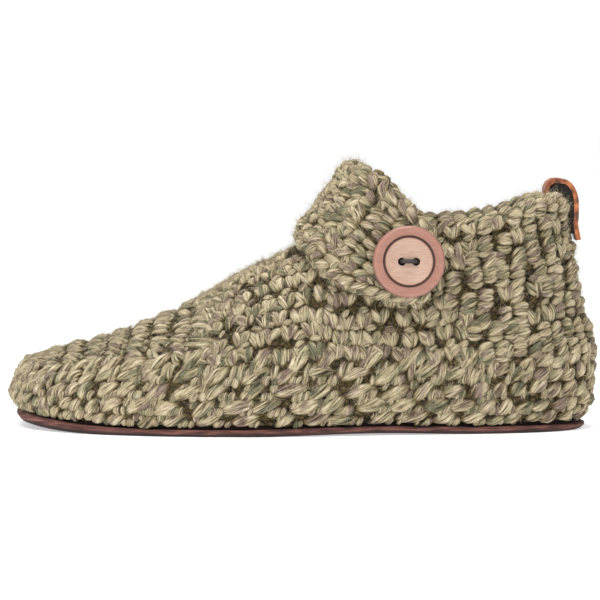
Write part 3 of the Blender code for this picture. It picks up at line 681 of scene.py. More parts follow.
ANKLE_ROWS = 8
ANKLE_PITCH = 0.0072
PUFF_LEGS = (
    # share of the row's height, bow, lift
    (-0.22, -1.1, 0.7),
    (0.02, 0.3, 1.5),
    (0.25, 1.4, 0.8),
)
V_LEGS = (
    # foot and head (millimetres along, share of the row's height), looseness, width, bow, lift, unevenness
    ((0.2, -0.58), (-2.9, 0.52), 9, 4.4, -0.5, 0.55, 0.6),
    ((0.9, -0.56), (3.4, 0.50), 8, 4.7, 0.5, 0.75, 0.5),
)


def crochet_ankle():
    """Rows of small V-shaped stitches over the sides and ankle, turning to round puffs at the heel."""
    yarn = Yarn("ankle_stitches")
    for place in range(ANKLE_ROWS):
        rise = (place + 0.46) / ANKLE_ROWS
        for run in ankle.row_places(rise, ANKLE_PITCH, offset=0.5 * (place % 2)):
            spot = ankle.spot(np.array([run]), np.array([rise]))[0][0]
            high = float(ankle.sizes(run, rise)[1]) / ANKLE_ROWS / MM
            heel = float(smoothstep(spot[0], HEEL_X - 0.075, HEEL_X - 0.045))
            wave = 1.3 * math.sin(spot[0] / 0.012 + place * 1.9) + 0.7 * math.sin(spot[0] / 0.0047 + place)
            shift = slack() * 1.4 + (0, wave)
            spin = RANDOM.normal(0, 9)
            if RANDOM.random() < 0.8 * heel:
                # a puff: three plump legs side by side, bowed apart into a ball and lying level
                slope = float(ankle.level(run, rise))
                shift = shift + (RANDOM.normal(0, 0.9), 0)
                for lower, bow, lift in PUFF_LEGS:
                    yarn.leg(
                        ankle, run, rise, (-4.2, lower * high - 4.2 * slope) + shift,
                        (4.2, lower * high + 4.2 * slope) + shift, spin + 13 + RANDOM.normal(0, 7),
                        about(4.0, 0.16), bow=about(bow, 0.4), lift=about(lift, 0.25), sink=1.8,
                    )
                continue
            # a V: two legs from one foot, with a short one across their heads
            for foot, head, loose, width, bow, lift, uneven in V_LEGS:
                yarn.leg(
                    ankle, run, rise, (foot[0], foot[1] * high) + shift, (head[0], head[1] * high) + shift,
                    spin + RANDOM.normal(0, loose), about(width, 0.2), bow=about(bow, 1.4),
                    lift=about(lift, uneven), sink=1.6,
                )
            if RANDOM.random() < 0.75:
                yarn.leg(
                    ankle, run, rise, (-2.7, 0.42 * high) + shift, (2.7, 0.60 * high) + shift,
                    RANDOM.normal(0, 16), about(3.2, 0.25), bow=about(0.3, 1.0), lift=about(0.3, 1.0),
                    sink=1.6,
                )
    return yarn


RIDGE_PITCH = 0.0052


def crochet_ridge():
    """Three lengthwise rows that close the top of the vamp up to the strap."""
    yarn = Yarn("ridge_stitches")
    for place, rise in enumerate((0.12, 0.50, 0.88)):
        for run in ridge.row_places(rise, RIDGE_PITCH, offset=0.4 * place):
            shift = slack()
            yarn.leg(
                ridge, run, rise, (-2.2, -2.9) + shift, (2.2, 2.9) + shift, RANDOM.normal(0, 14),
                about(4.0, 0.14), bow=about(0.4, 1.6), lift=about(0.5, 0.5),
            )
            yarn.leg(
                ridge, run, rise, (0.8, -2.8) + shift, (3.6, 2.4) + shift, RANDOM.normal(0, 16),
                about(3.0, 0.16), lift=about(0.2, 0.8),
            )
    return yarn


STRAP_PITCH = 0.0068
BORDER_PITCH = 0.0058
EDGE_PITCH = 0.0050


def crochet_strap():
    """Leaf-shaped legs across the strap, with a raised border of slanting legs along both edges."""
    yarn = Yarn("strap_stitches")
    for place, run in enumerate(strap.row_places(0.5, STRAP_PITCH, offset=0.35)):
        wide = float(strap.sizes(run, 0.5)[1]) / MM
        count = max(2, round(wide * 0.80 / 4.5))
        lean = 1 if place % 2 else -1
        for step in range(count):
            rise = 0.12 + 0.76 * (step + 0.5) / count
            shift = slack() * 1.7
            yarn.leg(
                strap, run, rise, (-4.9, -1.2 * lean) + shift, (4.9, 1.2 * lean) + shift,
                RANDOM.normal(0, 16), about(4.9, 0.18), bow=about(0.5, 1.8), lift=about(0.7, 0.6), sink=1.9,
                # painted shade: the strap's legs are kept below full light
                shade=(0.0, 0.90),
            )
    for rise, tilt in ((0.065, 31), (0.935, -34)):
        for run in strap.row_places(rise, BORDER_PITCH, offset=0.3):
            yarn.leg(
                strap, run, rise, (-4.6, 0), (4.6, 0), tilt + RANDOM.normal(0, 8),
                # painted shade: the border legs' undersides are partly lit
                about(4.9, 0.14), thick=4.6, lift=about(1.6, 0.2), sink=1.0, shade=(0.15, 0.95),
            )
    for rise in (0.0, 1.0):
        for run in strap.row_places(rise, EDGE_PITCH, offset=0.1):
            yarn.leg(
                strap, run, rise, (-3.6, 0), (3.6, 0), RANDOM.normal(0, 12), about(3.9, 0.14), thick=4.2,
                # painted shade: edge legs, seen from all sides, are lit nearly all round
                lift=about(-0.9, 0.2), sink=2.4, shade=(0.6, 1.0),
            )
    return yarn


COLLAR_PITCH = 0.0066
OVER_THE_EDGE = (
    # rise, width, lift and its unevenness, openness of the underside: its darkest level of painted shade
    (0.50, 3.5, 0.1, 2.0, 0.3),
    (0.35, 3.0, 0.2, 1.0, 0.2),
    (0.68, 3.2, 0.2, 1.0, 0.2),
)


def crochet_rim():
    """A chain along the collar: long slanting legs below the edge and flatter ones over it."""
    yarn = Yarn("collar_stitches")
    for run in rim.row_places(0.12, COLLAR_PITCH, offset=0.2):
        if ankle.spot(np.array([run]), np.array([1.0]))[0][0, 0] < RIDGE_END_X:
            continue
        start, end = turned((-4.6, -3.7), (4.6, 3.4), RANDOM.normal(0, 8))
        yarn.leg(
            rim, run, 0.16, start + slack(), end, 0,
            about(4.0, 0.15), bow=about(0.7, 0.8), lift=about(1.2, 0.3),
        )
        turn = RANDOM.normal(0, 10)
        for rise, width, lift, uneven, under in OVER_THE_EDGE:
            yarn.leg(
                rim, run, rise, (-4.0, -1.2), (4.0, 1.2), turn, about(width, 0.15), lift=about(lift, uneven),
                # painted shade: the underside of each leg over the edge is darkened to the listed level
                shade=(under, 1.0),
            )
        yarn.leg(
            rim, run, 0.86, (-3.4, -2.0), (3.4, 2.0), RANDOM.normal(0, 8),
            about(3.3, 0.15), lift=about(0.3, 0.4),
        )
    return yarn


INSIDE_PITCH = 0.0058


def crochet_inside():
    """Plain rows on the inner face, seen through the ankle opening."""
    yarn = Yarn("inside_stitches", rings=6, sides=6)
    for sheet, rows, low in ((inside_of(ankle, WALL), 8, 0.0), (inside_of(band, WALL), 3, 0.28)):
        for place in range(rows):
            rise = low + (1 - low) * (place + 0.5) / rows
            for run in sheet.row_places(rise, INSIDE_PITCH, offset=0.5 * (place % 2)):
                high = float(sheet.sizes(run, rise)[1]) * (1 - low) / rows / MM
                yarn.leg(
                    sheet, run, rise, (-2.2, -0.55 * high), (2.2, 0.55 * high), RANDOM.normal(0, 9),
                    about(4.3, 0.12), lift=0.2, sink=1.4,
                )
    return yarn


DEEPER_PITCH = 0.0042


def crochet_between():
    """Smaller legs lying deeper in every direction, painted dark as shade in the gaps between the stitches."""
    yarn = Yarn("deeper_stitches", rings=5, sides=6)
    for sheet, low, high in ((band, 0.02, 0.98), (vamp, 0.0, 1.0), (ankle, 0.0, 0.97), (strap, 0.1, 0.9)):
        tall = float(np.median(sheet.sizes(np.linspace(0.1, 0.9, 9), np.full(9, 0.5))[1]))
        for rise in np.linspace(low, high, max(3, round(tall * (high - low) / DEEPER_PITCH))):
            for run in sheet.row_places(rise, DEEPER_PITCH, offset=RANDOM.random()):
                yarn.leg(
                    sheet, run, rise, (-3.0, 0), (3.0, 0), 180 * RANDOM.random(), about(3.0, 0.2), lift=-0.9,
                    # painted shade: these legs never reach full light
                    sink=2.1, shade=(0.0, 0.62),
                )
    return yarn


def cover_gaps(yarn, skin, reach, tries, wanted, laid):
    """Legs in any direction wherever the wanted skin is further than reach from every leg already laid."""
    a, b, c = (skin.points[skin.faces[:, place]] for place in range(3))
    area = np.linalg.norm(np.cross(b - a, c - a), axis=1)
    picked = RANDOM.choice(len(area), tries, p=area / area.sum())
    share = RANDOM.random((tries, 2))
    share = np.where(share.sum(1, keepdims=True) > 1, 1 - share, share)
    spots = a[picked] + (b - a)[picked] * share[:, :1] + (c - a)[picked] * share[:, 1:]
    facing = skin.smooth_normals(spots, picked)
    laid = np.concatenate([np.array(other.centres).reshape(-1, 3) for other in laid])
    for spot, normal in zip(spots, facing):
        if not wanted(spot, normal) or ((laid - spot) ** 2).sum(1).min() < reach * reach:
            continue
        heading = unit(np.cross(normal, RANDOM.normal(0, 1, 3)))
        line = spot + heading * np.linspace(-3.2, 3.2, yarn.rings)[:, None] * MM
        places, turned_to = skin.near(line)
        yarn.lay(
            places, unit(turned_to * 0.5 + normal * 0.5), about(4.0, 0.2), lift=about(0.2, 1.0), sink=1.3,
            # painted shade, with the undersides half lit
            shade=(0.5, 1.0),
        )
        laid = np.concatenate([laid, yarn.centres[-1]])


def paint_shadow_under(yarn, edge):
    """Legs close under this edge get painted shadow: their lightest level of painted shade is lowered,
    standing in for the strap's shadow.
    """
    for place, centres in enumerate(yarn.centres):
        away = np.linalg.norm(edge - centres[len(centres) // 2], axis=1).min()
        low, high = yarn.shades[place]
        yarn.shades[place] = (low, high * (0.40 + 0.60 * float(smoothstep(away, 0.0035, 0.0090))))


def open_to_outside(spot, normal):
    """Whether the upper's skin here faces open air and isn't the strip under the sole line."""
    hit = upper_skin.tree.ray_cast(Vector(spot + normal * 0.0005), Vector(normal), 0.08)
    return hit[0] is None and spot[2] > sole_top(spot[0]) + 0.003


def clear_of_upper(spot, normal):
    """Whether the strap's skin here isn't pressed against the upper."""
    return upper_skin.tree.ray_cast(Vector(spot), Vector(normal), 0.006)[0] is None


FIBRE_STEPS = 4
FIBRES_ABOVE = 0.0095  # none start on the legs that touch the sole


def fuzz_over(name, yarns, count, lengths, width, material):
    """Loose fibres standing off the legs: thin tapered ribbons, drawn thicker than real wool, whose hairs of
    0.03 mm are too fine to show. lengths and width in millimetres."""
    centres = np.concatenate([np.array(yarn.centres) for yarn in yarns])
    facing = np.concatenate([np.array(yarn.normals) for yarn in yarns])
    widths = np.concatenate([np.array(yarn.widths) for yarn in yarns])
    over_sole = np.flatnonzero(centres[:, RINGS_A_LEG // 2, 2] > FIBRES_ABOVE)
    legs = over_sole[RANDOM.integers(0, len(over_sole), count)]
    rings = RANDOM.integers(2, RINGS_A_LEG - 2, count)
    out = facing[legs, rings]
    run = unit(centres[legs, rings + 1] - centres[legs, rings - 1])
    side = unit(np.cross(out, run))
    around = RANDOM.uniform(-1.35, 1.35, count)[:, None]
    away = out * np.cos(around) + side * np.sin(around)
    root = centres[legs, rings] + away * (widths[legs] * MM * 0.40)[:, None]
    heading = unit(
        run * RANDOM.normal(0, 1.0, (count, 1)) + away * RANDOM.uniform(0.1, 1.6, (count, 1))
        + side * RANDOM.normal(0, 0.5, (count, 1))
    )
    curl = unit(RANDOM.normal(0, 1, (count, 3)))
    length = RANDOM.uniform(*lengths, count)[:, None] * MM
    across = unit(np.cross(heading, curl)) * (width / 2) * MM
    points = []
    for step in range(FIBRE_STEPS):
        share = step / (FIBRE_STEPS - 1)
        spine = root + heading * length * share + curl * length * (0.42 * share**2)
        points.append(spine - across * (1 - share * 0.8))
        points.append(spine + across * (1 - share * 0.8))
    points = np.stack(points, 1)
    points[:, :, 2] = np.maximum(points[:, :, 2], 0.0003)  # none goes through the floor
    strip = np.arange(FIBRE_STEPS - 1)[:, None] * 2 + (0, 1, 3, 2)
    faces = (np.arange(count)[:, None, None] * 2 * FIBRE_STEPS + strip[None]).reshape(-1, 4)
    tones = np.repeat(RANDOM.random(count), 2 * FIBRE_STEPS)
    add_piece(name, points, faces, material, {"tone": tones}, smooth=False)


# Finishes.


def linear(hex_colour):
    """An sRGB hex colour as linear red, green, blue and 1."""
    parts = [int(hex_colour[place : place + 2], 16) / 255 for place in (1, 3, 5)]
    return [part / 12.92 if part <= 0.04045 else ((part + 0.055) / 1.055) ** 2.4 for part in parts] + [1.0]


def node(tree, kind, settings=None, links=None, stops=()):
    """Adds a node. settings: attributes or input values by name. links: input name or place to a socket.
    stops: a colour ramp's places and hex colours."""
    made = tree.nodes.new("ShaderNode" + kind)
    for name, value in (settings or {}).items():
        if isinstance(name, str) and hasattr(made, name):
            setattr(made, name, value)
        else:
            made.inputs[name].default_value = value
    for name, socket in (links or {}).items():
        tree.links.new(socket, made.inputs[name])
    for place, (at, colour) in enumerate(stops):
        points = made.color_ramp.elements
        point = points[place] if place < 2 else points.new(at)
        point.position = at
        point.color = linear(colour)
    return made


def finish_of(name, roughness, **settings):
    """A new material and its nodes."""
    material = bpy.data.materials.new(name)
    material.use_nodes = True
    inputs = material.node_tree.nodes["Principled BSDF"].inputs
    inputs["Roughness"].default_value = roughness
    for key, value in settings.items():
        inputs[key.replace("_", " ")].default_value = value
    return material, material.node_tree


def finished(material, colour, height=None, strength=0.0, distance=0.0):
    """The material with its colour put in and, where it has a relief, its bump: distance in metres."""
    tree = material.node_tree
    inputs = tree.nodes["Principled BSDF"].inputs
    tree.links.new(colour, inputs["Base Color"])
    if height is not None:
        bump = node(tree, "Bump", {"Strength": strength, "Distance": distance}, {"Height": height})
        tree.links.new(bump.outputs[0], inputs["Normal"])
    return material


def matted(name, roughness, mat, stops, strength=0.0, distance=0.0, **settings):
    """A material whose colours and relief both follow one noise, that has mat's settings."""
    material, tree = finish_of(name, roughness, **settings)
    place = node(tree, "TexCoord").outputs["Object"]
    noise = node(tree, "TexNoise", mat, {"Vector": place}).outputs["Fac"]
    colour = node(tree, "ValToRGB", links={"Fac": noise}, stops=stops).outputs[0]
    return finished(material, colour, noise if strength else None, strength, distance)


def wool_yarn():
    """Loosely spun heathered wool: fibres lie in fine ridges along each leg of yarn, beige with flecks of
    grey-green and mauve, dull with a soft bloom at grazing angles. Its IOR is lowered from wool's 1.55 for
    the air between the fibres. Ridges are 6 mm long and a dozen go round a leg: single hairs are too fine
    to show. Flecks are 12 mm long and go half way round. The colour is multiplied by painted shade from
    each leg's crown value: dark undersides and ends, light tops."""
    material, tree = finish_of(
        "heathered_wool_yarn", 0.92, IOR=1.33, Sheen_Weight=0.15, Sheen_Roughness=0.5,
        Sheen_Tint=linear("#E9DDBC"),
    )
    strand = node(tree, "Attribute", {"attribute_name": "strand"})
    tone = node(tree, "Attribute", {"attribute_name": "tone"})
    crown = node(tree, "Attribute", {"attribute_name": "crown"})
    shift = node(tree, "Math", {"operation": "MULTIPLY", 1: 40.0}, {0: tone.outputs["Fac"]})
    apart = node(tree, "CombineXYZ", links={"X": shift.outputs[0], "Z": shift.outputs[0]})
    fine = node(
        tree, "VectorMath", {"operation": "MULTIPLY_ADD", 1: (3.2, 3.2, 0.16)},
        {0: strand.outputs["Vector"], 2: apart.outputs[0]},
    )
    noise = {"Scale": 1.0, "Detail": 4.0, "Roughness": 0.6}
    fibres = node(tree, "TexNoise", noise, {"Vector": fine.outputs[0]})
    fleck_place = node(
        tree, "VectorMath", {"operation": "MULTIPLY_ADD", 1: (0.40, 0.40, 0.08)},
        {0: strand.outputs["Vector"], 2: apart.outputs[0]},
    )
    flecks = node(tree, "TexNoise", {"Scale": 1.0, "Detail": 1.0}, {"Vector": fleck_place.outputs[0]})
    base = node(
        tree, "ValToRGB", links={"Fac": fibres.outputs["Fac"]},
        stops=[(0.35, "#43382A"), (0.44, "#8A7D63"), (0.54, "#B5A88D"), (0.67, "#D2C7B0")],
    ).outputs[0]
    marl = node(
        tree, "ValToRGB", links={"Fac": flecks.outputs["Fac"]},
        stops=[(0.33, "#5F6E5A"), (0.43, "#DDDFD0"), (0.57, "#FFFCF6"), (0.67, "#8E7B88")],
    ).outputs[0]
    mixed = node(
        tree, "Mix", {"data_type": "RGBA", "blend_type": "MULTIPLY", "Factor": 0.8},
        {6: base, 7: marl},
    )
    # painted shade: the crown value darkens the undersides and ends of the legs to near black and leaves their
    # tops lit
    shade = node(
        tree, "ValToRGB", links={"Fac": crown.outputs["Fac"]},
        stops=[(0.26, "#0B0803"), (0.48, "#4E4330"), (0.63, "#B9AE97"), (0.80, "#FFFFFF")],
    ).outputs[0]
    shaded = node(
        tree, "Mix", {"data_type": "RGBA", "blend_type": "MULTIPLY", "Factor": 1.0},
        {6: mixed.outputs[2], 7: shade},
    )
    return finished(material, shaded.outputs[2], fibres.outputs["Fac"], 1.0, 0.0006)


def painted_shade_backing_yarn():
    """The same wool deep between the stitches, painted nearly black as shade, since hardly any light reaches
    there: 1.1 mm tufts.
    """
    tufts = {"Scale": 900.0, "Detail": 3.0}
    return matted("painted_shade_behind_the_stitches", 1.0, tufts, [(0.35, "#2B2213"), (0.65, "#574B30")], IOR=1.2)


def wool_fibres():
    """Loose wool fibres: single hairs of the same heather, most of them pale, some dark."""
    material, tree = finish_of("loose_wool_fibres", 0.9, IOR=1.33)
    tone = node(tree, "Attribute", {"attribute_name": "tone"})
    colour = node(
        tree, "ValToRGB", links={"Fac": tone.outputs["Fac"]},
        stops=[(0.0, "#5A5240"), (0.4, "#A3987A"), (0.8, "#CFC4A0"), (1.0, "#8C808A")],
    )
    return finished(material, colour.outputs[0])


def split_leather():
    """Split leather for a sole: a matt rose-brown nap of 0.7 mm, with paler scuffs 1 mm high and 11 mm long
    on its cut edge, and a darker copy of the colour painted as shade below, where the edge value is low."""
    material, tree = finish_of("split_leather_sole", 0.85)
    place = node(tree, "TexCoord").outputs["Object"]
    edge = node(tree, "Attribute", {"attribute_name": "edge"})
    streaks = node(tree, "Mapping", {"Scale": (90.0, 90.0, 900.0)}, {"Vector": place})
    layers = node(tree, "TexNoise", {"Scale": 1.0, "Detail": 4.0}, {"Vector": streaks.outputs[0]})
    upper = node(
        tree, "ValToRGB", links={"Fac": layers.outputs["Fac"]},
        stops=[(0.35, "#39201A"), (0.5, "#5C372F"), (0.66, "#7E5349")],
    ).outputs[0]
    # painted shade: a darker copy of the same leather, for the shaded underside and the shadow line above the
    # sole
    under = node(
        tree, "ValToRGB", links={"Fac": layers.outputs["Fac"]},
        stops=[(0.35, "#1A100D"), (0.65, "#3C2620")],
    ).outputs[0]
    both = node(
        tree, "Mix", {"data_type": "RGBA"},
        {"Factor": edge.outputs["Fac"], 6: under, 7: upper},
    )
    nap = node(tree, "TexNoise", {"Scale": 1400.0, "Detail": 3.0}, {"Vector": place})
    return finished(material, both.outputs[2], nap.outputs["Fac"], 0.7, 0.0002)


def wool_felt():
    """Pressed wool felt: short fibres matted into tufts of 1.4 mm in no direction, mottled grey-beige."""
    tufts = {"Scale": 700.0, "Detail": 5.0, "Distortion": 1.5}
    colours = [(0.35, "#5F5845"), (0.5, "#857C64"), (0.66, "#A79D82")]
    return matted("pressed_wool_felt", 0.95, tufts, colours, 0.8, 0.0004, Sheen_Weight=0.2)


BUTTON_RADIUS = 0.0150


def turned_wood(middle, axis):
    """Close-grained wood turned on a lathe and waxed: a pinkish rim, darker towards its outer edge, a paler
    dish, straight grain of 0.6 by 6 mm, and a dark ring painted as shade in the groove."""
    material, tree = finish_of("turned_and_waxed_wood", 0.42, Coat_Weight=0.3, Coat_Roughness=0.3)
    place = node(tree, "TexCoord").outputs["Object"]
    from_middle = node(tree, "VectorMath", {"operation": "SUBTRACT", 1: tuple(middle)}, {0: place})
    off_axis = node(
        tree, "VectorMath", {"operation": "CROSS_PRODUCT", 1: tuple(axis)},
        {0: from_middle.outputs[0]},
    )
    radius = node(tree, "VectorMath", {"operation": "LENGTH"}, {0: off_axis.outputs[0]})
    share = node(tree, "Math", {"operation": "DIVIDE", 1: BUTTON_RADIUS}, {0: radius.outputs["Value"]})
    zones = node(
        tree, "ValToRGB", links={"Fac": share.outputs[0]},
        stops=[
            # the dark stops at 0.665 to 0.71 of the radius are painted shade in the groove
            (0.0, "#B69987"), (0.60, "#B0917F"), (0.645, "#A8836F"), (0.665, "#4A2A20"),
            (0.71, "#4A2A20"), (0.735, "#94695A"), (0.93, "#9E7060"), (1.0, "#855B4D"),
        ],
    ).outputs[0]
    stretched = node(tree, "Mapping", {"Scale": (160.0, 1500.0, 1900.0)}, {"Vector": place})
    grain = node(tree, "TexNoise", {"Scale": 1.0, "Detail": 4.0}, {"Vector": stretched.outputs[0]})
    lines = node(
        tree, "ValToRGB", links={"Fac": grain.outputs["Fac"]},
        stops=[(0.30, "#DCD1CB"), (0.5, "#F2EDEA"), (0.70, "#FFFFFF")],
    ).outputs[0]
    grained = node(
        tree, "Mix", {"data_type": "RGBA", "blend_type": "MULTIPLY", "Factor": 0.75},
        {6: zones, 7: lines},
    )
    return finished(material, grained.outputs[2], grain.outputs["Fac"], 0.25, 0.0001)


def bridle_leather():
    """Vegetable-tanned leather strip: orange-brown, with a fine pebble of 0.8 mm and darker burnished creases
    4 mm apart."""
    material, tree = finish_of("vegetable_tanned_leather", 0.5)
    place = node(tree, "TexCoord").outputs["Object"]
    cloud = node(tree, "TexNoise", {"Scale": 260.0, "Detail": 4.0}, {"Vector": place})
    colour = node(
        tree, "ValToRGB", links={"Fac": cloud.outputs["Fac"]},
        stops=[(0.36, "#4E2510"), (0.48, "#8C4A24"), (0.64, "#B56D3A")],
    ).outputs[0]
    pebble = node(tree, "TexVoronoi", {"Scale": 1300.0}, {"Vector": place})
    return finished(material, colour, pebble.outputs["Distance"], 0.5, 0.00015)


def painted_loop_shadow_finish():
    """A near-black dull nap of 0.8 mm, brushed here and there to a dark brown: painted shadow for the shaded
    inside of the pull loop.
    """
    nap = {"Scale": 1200.0, "Detail": 3.0}
    return matted("painted_shadow_in_the_loop", 0.95, nap, [(0.35, "#0B0806"), (0.65, "#241B16")], 0.5, 0.0002)


def waxed_thread():
    """Waxed linen thread: nearly black, with a tight twist that comes round every 0.45 mm."""
    material, tree = finish_of("waxed_linen_thread", 0.55)
    place = node(tree, "TexCoord").outputs["Object"]
    twist = node(tree, "TexWave", {"Scale": 700.0, "Distortion": 2.0}, {"Vector": place})
    colour = node(
        tree, "ValToRGB", links={"Fac": twist.outputs["Fac"]},
        stops=[(0.2, "#0E0907"), (0.8, "#281B15")],
    ).outputs[0]
    return finished(material, colour)


# Pieces.


BACKING_INSET = 0.0018
STRAP_GAP = 0.0026  # bare places wider than this get a leg of their own
UPPER_GAP = 0.0033


def backing(node_name, material):
    """A copy of the solid drawn in all over: the inside of the crochet, seen between stitches, in a colour of
    painted shade.
    """
    skin = Skin(node_name)
    add_piece(
        node_name + "_backing", skin.points - skin.normals * BACKING_INSET, skin.faces, material,
        replaces=[node_name],
    )


yarn_finish = wool_yarn()
painted_shade_backing_finish = painted_shade_backing_yarn()
backing("upper", painted_shade_backing_finish)
backing("instep_strap", painted_shade_backing_finish)
lower_yarn = crochet_band()
vamp_yarn = crochet_vamp()
ankle_yarn = crochet_ankle()
ridge_yarn = crochet_ridge()
strap_yarn = crochet_strap()
collar_yarn = crochet_rim()
inside_yarn = crochet_inside()
deeper_yarn = crochet_between()
outer_yarns = [lower_yarn, vamp_yarn, ankle_yarn, ridge_yarn, strap_yarn, collar_yarn]
# painted shadow on the legs under the strap's lower edge
for yarn in (vamp_yarn, ankle_yarn, ridge_yarn):
    paint_shadow_under(yarn, strap.points[:, 3])
cover_gaps(strap_yarn, strap_skin, STRAP_GAP, 5000, clear_of_upper, [strap_yarn])
cover_gaps(ridge_yarn, upper_skin, UPPER_GAP, 16000, open_to_outside, outer_yarns + [inside_yarn])
for yarn in outer_yarns + [inside_yarn, deeper_yarn]:
    yarn.build(yarn_finish)
fibre_finish = wool_fibres()
fuzz_over("loose_fibres", outer_yarns, 32000, lengths=(1.4, 4.2), width=0.10, material=fibre_finish)
fuzz_over("halo_fibres", outer_yarns, 18000, lengths=(2.6, 5.6), width=0.075, material=fibre_finish)


def wander(count, wavelengths, height):
    """A smooth uneven line round a closed loop, in metres."""
    turns = 2 * math.pi * np.arange(count) / count
    line = np.zeros(count)
    for waves in wavelengths:
        line += np.sin(turns * waves + RANDOM.uniform(0, 2 * math.pi)) * RANDOM.uniform(0.5, 1.0)
    return line * height / math.sqrt(len(wavelengths))


def leather_sole(material):
    """The outsole with its hand-cut, slightly wavy edge: a paler cut strip over a drawn-in base painted darker
    as shade.
    """
    seam = band.points[:, 0]
    outward = unit(band.normals[:, 0] * (1, 1, 0))
    count = len(seam)
    top = np.array([sole_top(x) for x in seam[:, 0]])
    wavy = wander(count, (7, 11, 17, 26, 41), 0.00042)
    curl = wander(count, (5, 9, 14, 23), 0.00034)
    rings = (
        # out past the seam, below the top, share of the waviness, paler edge: share of the leather's own
        # colour against its painted shade copy
        # the first five rings make a thin fin that rises up to 6 mm inside the upper's wall in the painted
        # shade colour: a painted shadow line above the sole
        (-0.0052, 0.0002, 0.0, 0.0),
        (-0.0036, 0.0002, 0.0, 0.0),
        (-0.0034, -0.0040, 0.0, 0.0),
        (-0.0028, -0.0040, 0.0, 0.0),
        (-0.0026, 0.0000, 0.0, 0.0),
        (-0.0004, 0.0000, 0.2, 0.3),
        (0.0004, -0.0001, 0.5, 1.0),
        (0.0011, 0.0003, 1.0, 1.0),
        (0.0013, 0.0011, 1.0, 1.0),
        (0.0008, 0.0017, 1.0, 0.6),
        (0.0004, 0.0020, 0.6, 0.0),
        (-0.0002, 0.0027, 0.4, 0.0),
        (-0.0010, 0.0030, 0.0, 0.0),
        (-0.0140, 0.0030, 0.0, 0.0),
    )
    deeper = 1 + 0.5 * (1 - smoothstep(seam[:, 0], TOE_X + 0.012, TOE_X + 0.060))
    middle = seam * (1, 0, 0)
    middle[:, 0] = np.clip(middle[:, 0], TOE_X + 0.030, HEEL_X - 0.026)
    middle[:, 2] = top - 0.0002
    points = [middle]
    edge = [0.0] * count
    for out, below, waved, paler in rings:
        place = seam + outward * (out + wavy * waved)[:, None]
        place[:, 2] = np.maximum(top - below * deeper + curl * waved, 0.0)
        points.append(place)
        edge += [paler] * count
    points.append(middle - (0, 0, 0.0026))
    edge += [0.0] * count
    faces = tube(len(points), count)[:, [0, 3, 2, 1]]
    add_piece(
        "leather_sole", np.concatenate(points), faces, material, {"edge": np.array(edge)},
        replaces=["outsole"],
    )


LOOP_SHADOW_STEPS = 33
LOOP_SHADOW_HALF_WIDTH = 0.0068
LOOP_SHADOW = (
    # x, z and thickness in millimetres, from its inner end over the top and down the heel
    (106.8, 101.0, 2.6),
    (108.8, 102.9, 3.6),
    (111.6, 102.3, 4.3),
    (113.7, 100.2, 3.9),
    (115.0, 96.6, 3.0),
    (115.3, 91.5, 2.6),
    (115.4, 87.0, 2.2),
    (116.0, 83.2, 1.0),
)


def painted_loop_shadow_strip(material):
    """A near-black strip inside the pull loop, bulging towards the heel: painted shadow where the loop's
    inside is in shade.
    """
    table = np.array(LOOP_SHADOW) * MM
    fine = np.linspace(0, 1, LOOP_SHADOW_STEPS)
    x, z, thick = (np.interp(fine, np.linspace(0, 1, len(table)), table[:, place]) for place in range(3))
    level = np.zeros(LOOP_SHADOW_STEPS)
    runs = unit(np.stack([np.gradient(x), level, np.gradient(z)], 1))
    out = np.cross(runs, (0, 1.0, 0))
    spine = np.stack([x, level, z], 1)
    middle_y = float(sum(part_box("heel_loop")[place].y for place in (0, 1)) / 2)
    section = ((1, -1), (1, 1), (0.6, 1.05), (-0.6, 1.05), (-1, 1), (-1, -1), (-0.6, -1.05), (0.6, -1.05))
    points = np.stack([
        spine + out * (face * thick / 2)[:, None] + np.array([0, middle_y + side * LOOP_SHADOW_HALF_WIDTH, 0])
        for face, side in section
    ], 1)
    faces = tube(LOOP_SHADOW_STEPS, len(section))
    add_piece("painted_loop_shadow_strip", points, faces, material, smooth=False)


button_points = np.array([tuple(vertex.co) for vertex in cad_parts["button"].data.vertices])
button_middle = (button_points.max(0) + button_points.min(0)) / 2
button_axis = np.linalg.svd(button_points - button_points.mean(0), full_matrices=False)[2][2]
leather_sole(split_leather())
# painted shadow strip inside the pull loop
painted_loop_shadow_strip(painted_loop_shadow_finish())
looks = {
    "insole": wool_felt(),
    "button": turned_wood(button_middle, button_axis),
    "button_thread": waxed_thread(),
    "heel_loop": bridle_leather(),
}
for name, material in looks.items():
    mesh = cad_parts[name].data
    for place in range(len(mesh.materials)):
        mesh.materials[place] = material


# Floor, light and camera.


FLOOR_REACH = 30.0


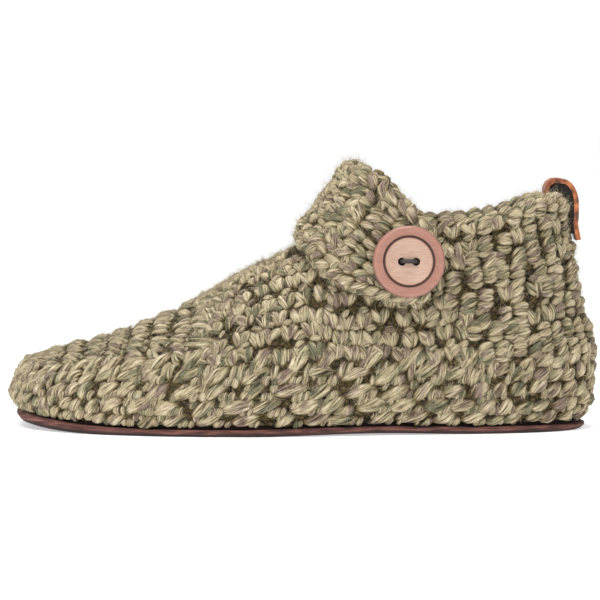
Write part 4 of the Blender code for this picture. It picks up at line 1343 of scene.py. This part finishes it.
def lay_floor():
    """A pale paper floor, lit a little from within so that it stays as white as the photo's."""
    mesh = bpy.data.meshes.new("floor")
    corners = [(x * FLOOR_REACH, y * FLOOR_REACH, 0) for x, y in ((-1, -1), (1, -1), (1, 1), (-1, 1))]
    mesh.from_pydata(corners, [], [(0, 1, 2, 3)])
    white = {"Base_Color": linear("#FAFAFA"), "Emission_Color": linear("#FFFFFF"), "Emission_Strength": 0.48}
    mesh.materials.append(finish_of("pale_paper_floor", 0.9, **white)[0])
    floor = bpy.data.objects.new("floor", mesh)
    bpy.context.scene.collection.objects.link(floor)


LIT_POINT = Vector((0, 0, 0.04))


def soft_light(name, place, size, power):
    """A square softbox that faces the slipper."""
    lamp = bpy.data.lights.new(name, "AREA")
    lamp.shape = "SQUARE"
    lamp.size = size
    lamp.energy = power
    thing = bpy.data.objects.new(name, lamp)
    bpy.context.scene.collection.objects.link(thing)
    thing.location = place
    thing.rotation_euler = (LIT_POINT - Vector(place)).to_track_quat("-Z", "Y").to_euler()


lay_floor()
world = bpy.data.worlds.new("studio")
bpy.context.scene.world = world
world.use_nodes = True
studio = world.node_tree
# white at the horizon and below, greyer above, as under a lit studio tent
heading = node(studio, "TexCoord")
height = node(studio, "SeparateXYZ", links={"Vector": heading.outputs["Generated"]})
sky = node(
    studio, "ValToRGB", links={"Fac": height.outputs["Z"]},
    stops=[(0.0, "#FFFFFF"), (0.15, "#FFFFFF"), (0.45, "#B4B5B6")],
).outputs[0]
studio.links.new(sky, studio.nodes["Background"].inputs["Color"])
studio.nodes["Background"].inputs["Strength"].default_value = 1.05
soft_light("key", (-0.30, -0.80, 0.95), size=0.35, power=8.3)
soft_light("top", (0.0, -0.05, 1.2), size=0.6, power=11.0)

CAMERA_DISTANCE = 1.30
CAMERA_RISE = math.radians(3.5)
CAMERA_AIM = Vector((-0.0006, 0.0, 0.0545))
PIXEL_AT_AIM = 0.000429
IMAGE_WIDTH = 600

camera = bpy.data.cameras.new("photo_angle")
camera.sensor_width = 36
camera.lens = 36 * CAMERA_DISTANCE / (IMAGE_WIDTH * PIXEL_AT_AIM)
camera.clip_end = 20
eye = bpy.data.objects.new("photo_angle", camera)
bpy.context.scene.collection.objects.link(eye)
eye.location = CAMERA_AIM + Vector((0, -math.cos(CAMERA_RISE), math.sin(CAMERA_RISE))) * CAMERA_DISTANCE
eye.rotation_euler = (math.pi / 2 - CAMERA_RISE, 0, 0)
bpy.context.scene.camera = eye
bpy.context.scene.view_settings.view_transform = "Standard"
